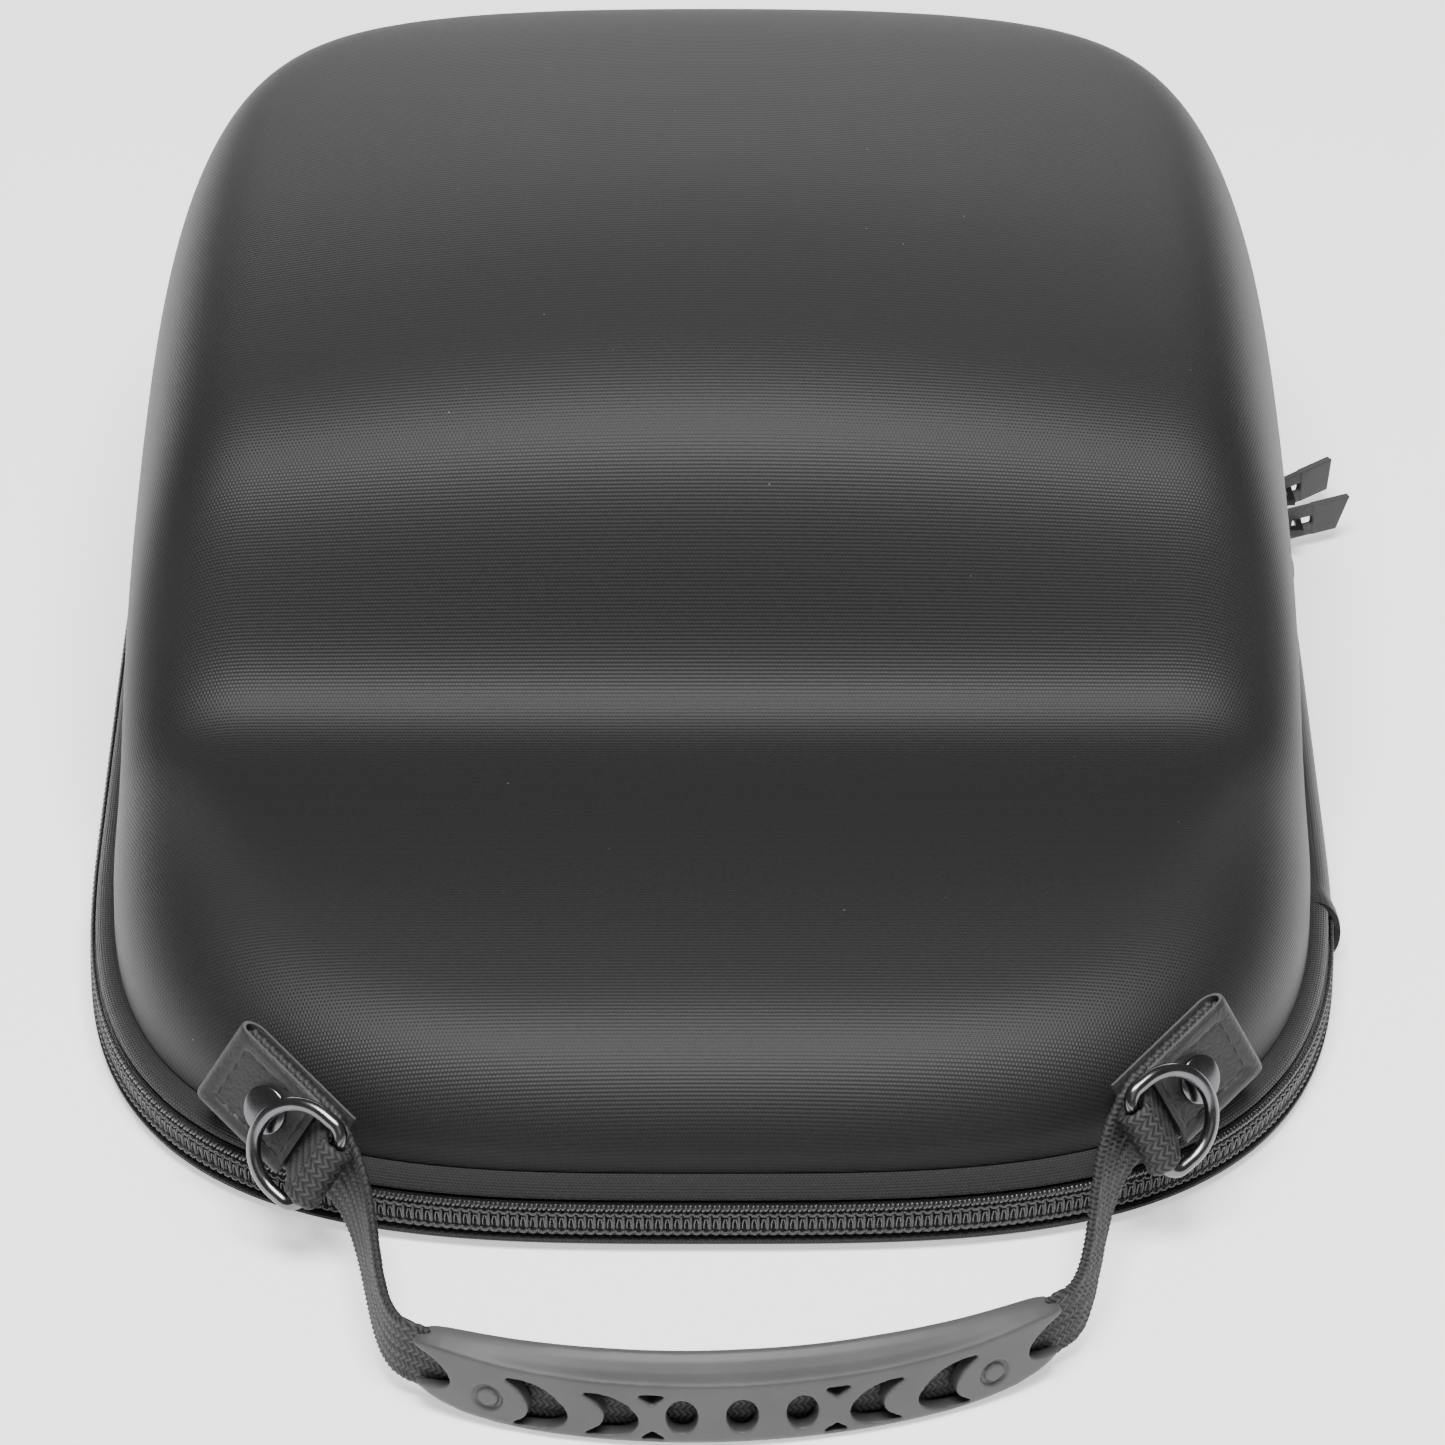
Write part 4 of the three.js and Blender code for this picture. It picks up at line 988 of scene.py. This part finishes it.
# Webbing handle
# One ribbed polyester strap. Each end is folded into a tab; between them it turns on edge,
# hangs down to the table and passes through the rubber grip.
GRIP_CHORD = 100.0
GRIP_SAG = 12.0
GRIP_REACH = 38.0
GRIP_SHIFT = 5.0
GRIP_TURN = math.radians(4.3)
GRIP_HEIGHT = 15.6
GRIP_FOOT = 0.3
STRAP_IN_GRIP = 1.55
TAB_PULL = 0.3
GRIP_PULL = 0.2
STRAP_TWIST = 0.3
WEBBING_WIDTH = 12.0
WEBBING_START = 1.4
WEBBING_COLUMNS = 34
WEBBING_STEP = 0.36
SLOT_REACH = 1.05
SLOT_STEPS = 60
RIB = 1.02
LANE = 2.0
SQUEEZED = 0.17
grip_radius = ((GRIP_CHORD / 2) ** 2 + GRIP_SAG ** 2) / (2 * GRIP_SAG)
grip_half = math.asin(GRIP_CHORD / 2 / grip_radius) * grip_radius
strap_middle = GRIP_HEIGHT * 0.45


def grip_at(along, s, u, w):
    """A place in the grip: along its arc, then s further along, u up and w to the front."""
    turn = along / grip_radius
    local = Vector((grip_radius * math.sin(turn), -grip_radius * math.cos(turn) + grip_radius))
    local.rotate(Matrix.Rotation(GRIP_TURN, 2))
    heading = turn + GRIP_TURN
    way = Vector((math.cos(heading), math.sin(heading), 0))
    front = Vector((math.sin(heading), -math.cos(heading), 0))
    centre = Vector((GRIP_SHIFT + local.x, FRONT - GRIP_REACH - GRIP_SAG + local.y, GRIP_FOOT))
    return centre + way * s + front * w + Vector((0, 0, u)), way


def strap_lift(along):
    """Height of the strap's middle in the grip; it rises towards the grip's ends."""
    share = limited((abs(along) - 40) / 15, 0, 1)
    return strap_middle + 1.8 * share * share


def strap_path():
    up = Vector((0, 0, 1))
    middle = []
    for k in range(SLOT_STEPS + 1):
        along = mix(-SLOT_REACH, SLOT_REACH, k / SLOT_STEPS) * grip_half
        at, way = grip_at(along, 0, strap_lift(along), -STRAP_IN_GRIP)
        middle.append((at, up, way))

    def in_tab(corner):
        places = [mix(WEBBING_START, TAB_LENGTH + 1, k / 16) for k in range(17)]
        return [(corner.at(a, 0, STRAP_LAYER), corner.across) for a in places]

    def free_run(corner, end, way):
        first = corner.at(TAB_LENGTH + 1, 0, STRAP_LAYER)
        span = (first - end).length
        p1, p2 = first + corner.along * span * TAB_PULL, end + way * span * GRIP_PULL
        run = []
        for k in range(1, 30):
            t = k / 30
            inner = p1 * 3 * t * (1 - t) ** 2 + p2 * 3 * t * t * (1 - t)
            at = first * (1 - t) ** 3 + inner + end * t ** 3
            run.append((at, corner.across.lerp(up, t ** STRAP_TWIST).normalized()))
        return run

    left, right = corners
    return (
        in_tab(left) + free_run(left, middle[0][0], -middle[0][2]) + [m[:2] for m in middle]
        + free_run(right, middle[-1][0], middle[-1][2])[::-1] + in_tab(right)[::-1]
    )


def ribs(along, across):
    """Height of the webbing's herringbone ribs, in millimetres."""
    lane = across / LANE
    slant = along / RIB + 0.9 * abs(lane - math.floor(lane) - 0.5) * 2
    valley = abs(math.sin(math.pi * lane)) ** 0.4
    return 0.17 * (math.sin(math.tau * slant) + 1) * valley - 0.2


def webbing_strip(name, path, held):
    """Webbing along path [(place, across)], finely enough divided to carry its ribs. The
    lengths held at its start and end are squeezed out to the edges of the tabs."""
    width, columns = WEBBING_WIDTH, WEBBING_COLUMNS
    count = 2 * (columns + 1)
    run = run_lengths([place for place, across in path])
    steps = int(run[-1] / WEBBING_STEP)
    fine = []
    at = 0
    for k in range(steps + 1):
        goal = run[-1] * k / steps
        while at < len(path) - 2 and run[at + 1] < goal:
            at += 1
        share = limited((goal - run[at]) / (run[at + 1] - run[at]), 0, 1)
        fine.append(tuple(p.lerp(q, share) for p, q in zip(path[at], path[at + 1])))
    frames = []
    for k, (place, across) in enumerate(fine):
        way = (fine[min(k + 2, steps)][0] - fine[max(k - 2, 0)][0]).normalized()
        thick = way.cross(across).normalized()
        frames.append((place, thick, thick.cross(way)))

    def place(step, i):
        centre, thick, across = frames[step]
        outer = i <= columns
        b = mix(-width / 2, width / 2, (i if outer else count - 1 - i) / columns)
        edge = 1 - 0.5 * max(0, 1 - (width / 2 - abs(b)) / 0.6)
        side = 1 if outer else -1
        along = step * run[-1] / steps
        inside = max(held[0] - along, held[1] - (run[-1] - along))
        squeezed = 1 + SQUEEZED * limited(inside / 3, 0, 1)
        push = (WEBBING / 2 + 0.05) * edge + ribs(along + (0 if outer else RIB / 2), b + width)
        selvedge = abs(b) > width / 2 - 0.5
        knots = 1 + 0.02 * math.sin(math.pi * along / RIB) * selvedge
        return centre + thick * side * push + across * b * knots * squeezed

    piece = drawn_out(name, count, steps + 1, place)
    lay_pattern(piece, count, lambda step, i: (i * width / columns, step * run[-1] / steps))
    closed_up(piece, 0.0001)
    return smoothed(piece, 60)


def herringbone_groove_shade_effect():
    """Painted shade on the webbing's ribs, which lean both ways in lanes: dark in the grooves between ribs
    and along the lines between lanes, light on the ribs' tops; its Height feeds only the colour.
    """
    tree, given, out = effect_group("herringbone", {"Flat": None, "Lane": LANE, "Rib": RIB}, ["Height"])
    across, along = split_flat(tree, given)
    lane = sum_of(tree, "FRACT", sum_of(tree, "DIVIDE", across, given.outputs["Lane"]))
    fold = sum_of(tree, "ABSOLUTE", sum_of(tree, "SUBTRACT", lane, 0.5))
    run = sum_of(tree, "DIVIDE", along, given.outputs["Rib"])
    slant = sum_of(tree, "ADD", run, sum_of(tree, "MULTIPLY", fold, 1.8))
    wave = sum_of(tree, "SINE", sum_of(tree, "MULTIPLY", slant, math.tau))
    raised = sum_of(tree, "ADD", sum_of(tree, "MULTIPLY", wave, 0.5), 0.5)
    valley = sum_of(tree, "POWER", sum_of(tree, "SINE", sum_of(tree, "MULTIPLY", lane, math.pi)), 0.4)
    tree.links.new(sum_of(tree, "MULTIPLY", raised, valley), out.inputs["Height"])
    return tree


def webbing_material():
    material, tree, bsdf = shader("ribbed_webbing")
    flat = cloth_place(tree)
    groove_shade = place_group(tree, herringbone_groove_shade_effect(), "Flat", flat)
    yarn = place_group(tree, knit_rows, "Flat", flat, Row=0.21, Loop=0.3)
    # Painted shade: the webbing goes dark in the grooves between its ribs and lanes and light on the ribs'
    # tops, times the yarn's painted loop shade.
    ribbed = shades(tree, groove_shade.outputs["Height"], grey(0.004, 0.004), grey(0.05, 0.052))
    tree.links.new(multiplied(tree, ribbed, yarn.outputs["Shade"]), bsdf.inputs["Base Color"])
    raise_surface(tree, yarn.outputs["Height"], 0.6, 0.05)
    constants(bsdf, Roughness=0.6, Specular_IOR_Level=0.4)
    return material


webbing_weave = webbing_material()
strap = webbing_strip("handle_strap", strap_path(), (TAB_LENGTH - 1, TAB_LENGTH - 1))
strap.data.materials.append(webbing_weave)
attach(strap, "case")
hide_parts("handle_webbing")


# Ring keepers
# A short piece of the same webbing, held between the strap and the tab's upper leather,
# that loops round each ring's straight bar.
RING_WIRE = 2.4
RIVET_DOME = 2.2
HEAD_UNDER = TAB_TOP + GAP
BAR_ALONG = TAB_LENGTH + 3
BAR_OUT = HEAD_UNDER + RIVET_DOME
KEEPER_RADIUS = RING_WIRE / 2 + GAP + WEBBING / 2
KEEPER_STEPS = 40
KEEPER_END = math.radians(-78)


def keeper_path():
    """The keeper's middle line, from under the tab's leather round the ring's bar."""
    bend = TAB_LENGTH - TAB_OPEN + 2 * GAP
    rise, reach = BAR_OUT - KEEPER_LAYER, BAR_ALONG - bend
    turned = math.atan2(rise, reach) + math.asin(KEEPER_RADIUS / math.hypot(rise, reach))
    held = KEEPER_STEPS // 4
    path = [(mix(WEBBING_START, bend - 0.4, k / held), KEEPER_LAYER) for k in range(held + 1)]
    path.append((bend + 0.2, KEEPER_LAYER + 0.22))
    for k in range(KEEPER_STEPS + 1):
        turn = mix(turned + math.pi / 2, KEEPER_END, k / KEEPER_STEPS)
        across, lift = KEEPER_RADIUS * math.cos(turn), KEEPER_RADIUS * math.sin(turn)
        path.append((BAR_ALONG + across, BAR_OUT + lift))
    return path


for corner in corners:
    path = [(corner.at(a, 0, c), corner.across) for a, c in keeper_path()]
    keeper = webbing_strip(f"keeper_{corner.name}_webbing", path, (TAB_LENGTH - TAB_OPEN, 0))
    keeper.data.materials.append(webbing_weave)
    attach(keeper, "case")
    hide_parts(f"keeper_{corner.name}")


# Rivets and rings
# Polished black nickel: a domed rivet through each tab and the shell, and a D-ring of
# round wire that leans back on the rivet.
RIVET_HEAD = 8.0
RIVET_SHANK = 3.0
RIVET_CAP = 0.8
RIVET_CROWN = 1.1
RIVET_EDGE = 0.45
RIVET_SIDES = 48
RING_INSIDE = 14.0
RING_DEPTH = 12.6
RING_CORNER = 2.4
WIRE_SIDES = 20

nickel, tree, bsdf = shader("black_nickel")
bsdf.inputs["Metallic"].default_value = 1
wear = noise(tree, own_place(tree), 420, 6)
uneven_gloss(tree, wear, 0.12, 0.32)
tree.links.new(shades(tree, wear, grey(0.10, 0.105), grey(0.17, 0.175)), bsdf.inputs["Base Color"])

for corner in corners:
    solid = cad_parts[f"rivet_{corner.name}"].data
    cap_depth = min((Vector(v.co) / MM - corner.seat).dot(corner.out) for v in solid.vertices)
    head, shank = RIVET_HEAD / 2, RIVET_SHANK / 2
    rows = [
        (0.01, cap_depth), (head - 0.3, cap_depth), (head, cap_depth + 0.3),
        (head, cap_depth + RIVET_CAP), (shank, cap_depth + RIVET_CAP), (shank, HEAD_UNDER),
        (head - 0.1, HEAD_UNDER), (head, HEAD_UNDER + 0.15), (head, HEAD_UNDER + RIVET_EDGE),
    ]
    for k in range(1, 13):
        turn = math.pi / 2 * k / 12
        domed = RIVET_EDGE + (RIVET_CROWN - RIVET_EDGE) * math.sin(turn)
        rows.append((max(head * math.cos(turn), 0.01), HEAD_UNDER + domed))

    def rivet_place(step, i, corner=corner, rows=rows):
        radius, c = rows[step]
        turn = math.tau * i / RIVET_SIDES
        return corner.at(RIVET_FROM_FOLD + radius * math.cos(turn), radius * math.sin(turn), c)

    rivet = drawn_out(f"rivet_{corner.name}_cap", RIVET_SIDES, len(rows), rivet_place)
    closed_up(rivet, 0.0001)
    smoothed(rivet, 50)

    half = (RING_INSIDE + RING_WIRE) / 2
    lean = math.asin((HEAD_UNDER + RIVET_DOME + RING_WIRE / 2 + GAP - BAR_OUT) / RING_DEPTH)
    centres = []
    for k in range(33):
        turn = math.pi * k / 32
        centres.append((half * math.cos(turn), RING_DEPTH - half + half * math.sin(turn)))
    for sign, start in ((-1, math.pi), (1, 1.5 * math.pi)):
        for k in range(9):
            turn = start + math.pi / 2 * k / 8
            centres.append((
                sign * (half - RING_CORNER) + RING_CORNER * math.cos(turn),
                RING_CORNER + RING_CORNER * math.sin(turn),
            ))
    centres.append(centres[0])

    def ring_place(step, i, corner=corner, centres=centres, lean=lean):
        b, reach = centres[step]
        last = len(centres) - 1
        before, after = centres[(step - 1) % last], centres[(step + 1) % last]
        way = Vector((after[0] - before[0], after[1] - before[1])).normalized()
        turn = math.tau * i / WIRE_SIDES
        side, lift = RING_WIRE / 2 * math.cos(turn), RING_WIRE / 2 * math.sin(turn)
        b, reach = b - way.y * side, reach + way.x * side
        return corner.at(
            BAR_ALONG - reach * math.cos(lean) + lift * math.sin(lean),
            b,
            BAR_OUT + reach * math.sin(lean) + lift * math.cos(lean),
        )

    ring = drawn_out(f"ring_{corner.name}_wire", WIRE_SIDES, len(centres), ring_place, filled=False)
    closed_up(ring, 0.0001)
    smoothed(ring, 60)
    for piece, body in ((rivet, "case"), (ring, f"ring_{corner.name}")):
        piece.data.materials.append(nickel)
        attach(piece, body)
    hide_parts(f"rivet_{corner.name}")
    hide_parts(f"d_ring_{corner.name}")


# Grip
# A moulded grey rubber sleeve on the strap. Its face is pierced by round windows, crosses
# and crescents that show the webbing, with a small raised boss near each end.
GRIP_FRONT = 2.2
GRIP_BACK = 3.3
# Along, then foot, ridge and top of the section, and its front's and back's share
GRIP_ROWS = [
    (0, 0.2, 12.0, 15.6, 1, 1), (22, 0.22, 12.2, 15.4, 1, 1), (32, 0.3, 12.5, 15.1, 0.98, 1),
    (38, 0.6, 12.8, 14.9, 0.94, 1), (44, 1.2, 13.3, 14.8, 0.85, 0.97),
    (48, 2.2, 13.5, 14.7, 0.74, 0.94), (51, 3.4, 13.4, 14.4, 0.6, 0.88),
    (52.5, 4.6, 12.8, 13.8, 0.4, 0.75),
]
GRIP_STEPS = 90
GRIP_VOXEL = 0.27
# Pitch, half width, half height and height of the middle of the three round windows
WINDOWS = (9.25, 2.45, 3.3, 5.85)
CROSS_UPPER = [(16.9, 10.1), (14.2, 8.0), (12.0, 10.1)]
CROSS_LOWER = [(16.5, 1.2), (14.2, 2.9), (11.6, 1.25)]
CRESCENTS = [
    [
        (37.5, 10.5), (34.3, 10.8), (30.8, 9.6), (28.2, 7.0), (27.0, 4.8), (27.6, 3.2), (29.5, 1.9),
        (33.0, 1.4), (36.8, 1.5), (34.6, 2.5), (33.3, 4.2), (33.5, 6.2), (35.1, 8.9),
    ],
    [
        (25.6, 9.8), (22.2, 10.0), (18.8, 8.6), (16.7, 6.4), (16.1, 4.6), (17.0, 2.7), (19.2, 1.8),
        (22.3, 1.6), (25.4, 1.5), (22.5, 2.9), (21.4, 5.0), (21.8, 6.7), (23.4, 8.6),
    ],
]
HORNS = (0, 8)
# Along, up, radius of the recess, radius of the button and depth of the recess
BOSS = (39.9, 5.9, 2.5, 1.65, 0.6)
MOUTH = [
    (57, 14.0), (52.5, 12.5), (49.1, 11.3), (46.7, 9.2), (46.0, 7.4), (46.3, 6.2), (48.0, 5.4),
    (51.0, 5.0), (57, 5.0),
]


def grip_row(along):
    away = min(abs(along), GRIP_ROWS[-1][0])
    for low, high in zip(GRIP_ROWS, GRIP_ROWS[1:]):
        if away <= high[0]:
            share = (away - low[0]) / (high[0] - low[0])
            return [mix(a, b, share) for a, b in zip(low[1:], high[1:])]
    return list(GRIP_ROWS[-1][1:])


def grip_body_place(step, i):
    along = mix(-GRIP_ROWS[-1][0], GRIP_ROWS[-1][0], step / GRIP_STEPS)
    foot, ridge, top, front_share, back_share = grip_row(along)
    front, back = GRIP_FRONT * front_share, -GRIP_BACK * back_share
    section = [
        (foot, back + 1.0), (foot, front - 1.1), (foot + 0.35, front - 0.32), (foot + 1.1, front),
        (ridge - 0.7, front), (ridge - 0.1, front - 0.1), (ridge + 0.1, front - 0.5),
        (mix(ridge, top, 0.4), mix(front - 0.3, back + 1.2, 0.3)),
        (mix(ridge, top, 0.78), mix(front, back + 1.2, 0.66)), (top - 0.05, back + 1.5),
        (top - 0.05, back + 0.8), (top - 0.6, back), (foot + 0.8, back),
    ]
    u, w = section[i]
    return grip_at(along, 0, u, w)[0]


def rounded_outline(corners, sharp=()):
    """A smooth closed curve near the corners, pointed at the corners listed as sharp."""
    outline = []
    count = len(corners)
    for k in range(count):
        here, after = Vector(corners[k]), Vector(corners[(k + 1) % count])
        if k in sharp:
            outline.append(here)
        else:
            before = Vector(corners[k - 1])
            start = before if (k - 1) % count in sharp else (before + here) / 2
            end = after if (k + 1) % count in sharp else (here + after) / 2
            for j in range(1 if (k - 1) % count in sharp else 0, 6):
                t = j / 6
                outline.append(start * (1 - t) ** 2 + here * 2 * t * (1 - t) + end * t * t)
    return outline


def grip_cutter(outline, side, low, high):
    """A prism through the grip's face with its outline given as (along, up)."""
    count = len(outline)

    def place(step, i):
        along, u = outline[i]
        return grip_at(side * along, 0, u, (low, high)[step])[0]

    return closed_up(drawn_out("cutter", count, 2, place), 0.0001)


def oval(along, up, half_width, half_height, count=40):
    turns = [math.tau * k / count for k in range(count)]
    return [(along + half_width * math.cos(t), up + half_height * math.sin(t)) for t in turns]


def cut_away(piece, cutter, operation="DIFFERENCE"):
    cut = piece.modifiers.new("cut", "BOOLEAN")
    cut.operation = operation
    cut.object = cutter
    cut.solver = "EXACT"
    apply_modifiers(piece)
    bpy.data.objects.remove(cutter)


grip = closed_up(drawn_out("grip_sleeve", 13, GRIP_STEPS + 1, grip_body_place), 0.0001)
slot_section = [(-1, -1), (-1, 1), (1, 1), (1, -1)]


def slot_place(step, i):
    u, w = slot_section[i]
    high, thick = WEBBING_WIDTH / 2 + GAP, WEBBING / 2 + GAP
    along = mix(-SLOT_REACH, SLOT_REACH, step / SLOT_STEPS) * grip_half
    return grip_at(along, 0, strap_lift(along) + u * high, w * thick - STRAP_IN_GRIP)[0]


cut_away(grip, closed_up(drawn_out("cutter", 4, SLOT_STEPS + 1, slot_place), 0.0001))
behind, ahead = -STRAP_IN_GRIP, GRIP_FRONT + 1
pitch, half_width, half_height, middle_up = WINDOWS
for k in (-1, 0, 1):
    window = oval(k * pitch - 0.4, middle_up, half_width, half_height)
    cut_away(grip, grip_cutter(window, 1, behind, ahead))
for side in (-1, 1):
    openings = [CROSS_UPPER, CROSS_LOWER] + [rounded_outline(crescent, HORNS) for crescent in CRESCENTS]
    for opening in openings:
        cut_away(grip, grip_cutter(opening, side, behind, ahead))
    along, up, radius, button, depth = BOSS
    front = GRIP_FRONT * grip_row(along)[3]
    cut_away(grip, grip_cutter(oval(along, up, radius, radius), side, front - depth, ahead))
    cut_away(grip, grip_cutter(oval(along, up, button, button), side, 0.2, front), "UNION")
    cut_away(grip, grip_cutter(rounded_outline(MOUTH, HORNS), side, behind, ahead))
melted(grip, GRIP_VOXEL, 4)
smoothed(grip, 80)

rubber, tree, bsdf = shader("grey_rubber")
place = own_place(tree)
cloud = noise(tree, place, 90, 5)
tone = shades(tree, cloud, grey(0.044, 0.0455), grey(0.062, 0.064), 0.3, 0.75)
tree.links.new(tone, bsdf.inputs["Base Color"])
raise_surface(tree, noise(tree, place, 2600), 0.35, 0.05)
bsdf.inputs["Roughness"].default_value = 0.52
grip.data.materials.clear()
grip.data.materials.append(rubber)
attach(grip, "case")
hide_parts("grip")


# Studio
# A pale floor that glows faintly, a soft main light high over the front, a low light
# behind, a weak front fill, and the camera at the photograph's angle.
deselect_all()
bpy.ops.mesh.primitive_plane_add(size=8)
floor = bpy.context.object
floor.name = "studio_floor"
white, tree, bsdf = shader("studio_white")
constants(
    bsdf, Base_Color=(0.92, 0.92, 0.92, 1), Roughness=0.9, Emission_Color=(1, 1, 1, 1), Emission_Strength=0.8,
)
floor.data.materials.append(white)

world = bpy.context.scene.world or bpy.data.worlds.new("studio")
bpy.context.scene.world = world
world.use_nodes = True
backdrop = world.node_tree.nodes["Background"]
backdrop.inputs["Color"].default_value = (1, 1, 1, 1)
backdrop.inputs["Strength"].default_value = 0.2


def area_light(name, place, target, width, depth, power):
    data = bpy.data.lights.new(name, "AREA")
    data.shape = "RECTANGLE"
    data.size = width
    data.size_y = depth
    data.energy = power
    light = bpy.data.objects.new(name, data)
    bpy.context.collection.objects.link(light)
    light.location = place
    light.rotation_euler = (Vector(target) - Vector(place)).to_track_quat("-Z", "Y").to_euler()


area_light("overhead", (0, -0.42, 1.25), (0, 0, 0), 0.8, 0.5, 36)
area_light("back_light", (0, 2.0, 0.85), (0, 0.05, 0.08), 1.8, 0.5, 17)
area_light("front_fill", (0.3, -1.6, 1.0), (0, 0, 0.03), 1.2, 0.8, 2)

IMAGE = 1445
PIXELS_PER_MM = 5.62
SENSOR = 36.0
DISTANCE = 1200.0
ELEVATION = math.radians(35)
PRINCIPAL = (712.0, 768.0)
target = Vector((0, -3, 0)) * MM
back = Vector((0, -math.cos(ELEVATION), math.sin(ELEVATION)))
camera_data = bpy.data.cameras.new("photo_camera")
camera_data.sensor_width = SENSOR
camera_data.lens = PIXELS_PER_MM * DISTANCE / IMAGE * SENSOR
camera_data.shift_x = (IMAGE / 2 - PRINCIPAL[0]) / IMAGE
camera_data.shift_y = (PRINCIPAL[1] - IMAGE / 2) / IMAGE
camera_data.clip_start = 0.05
camera = bpy.data.objects.new("photo_camera", camera_data)
bpy.context.collection.objects.link(camera)
camera.location = target + back * DISTANCE * MM
camera.rotation_euler = (-back).to_track_quat("-Z", "Y").to_euler()
bpy.context.scene.camera = camera
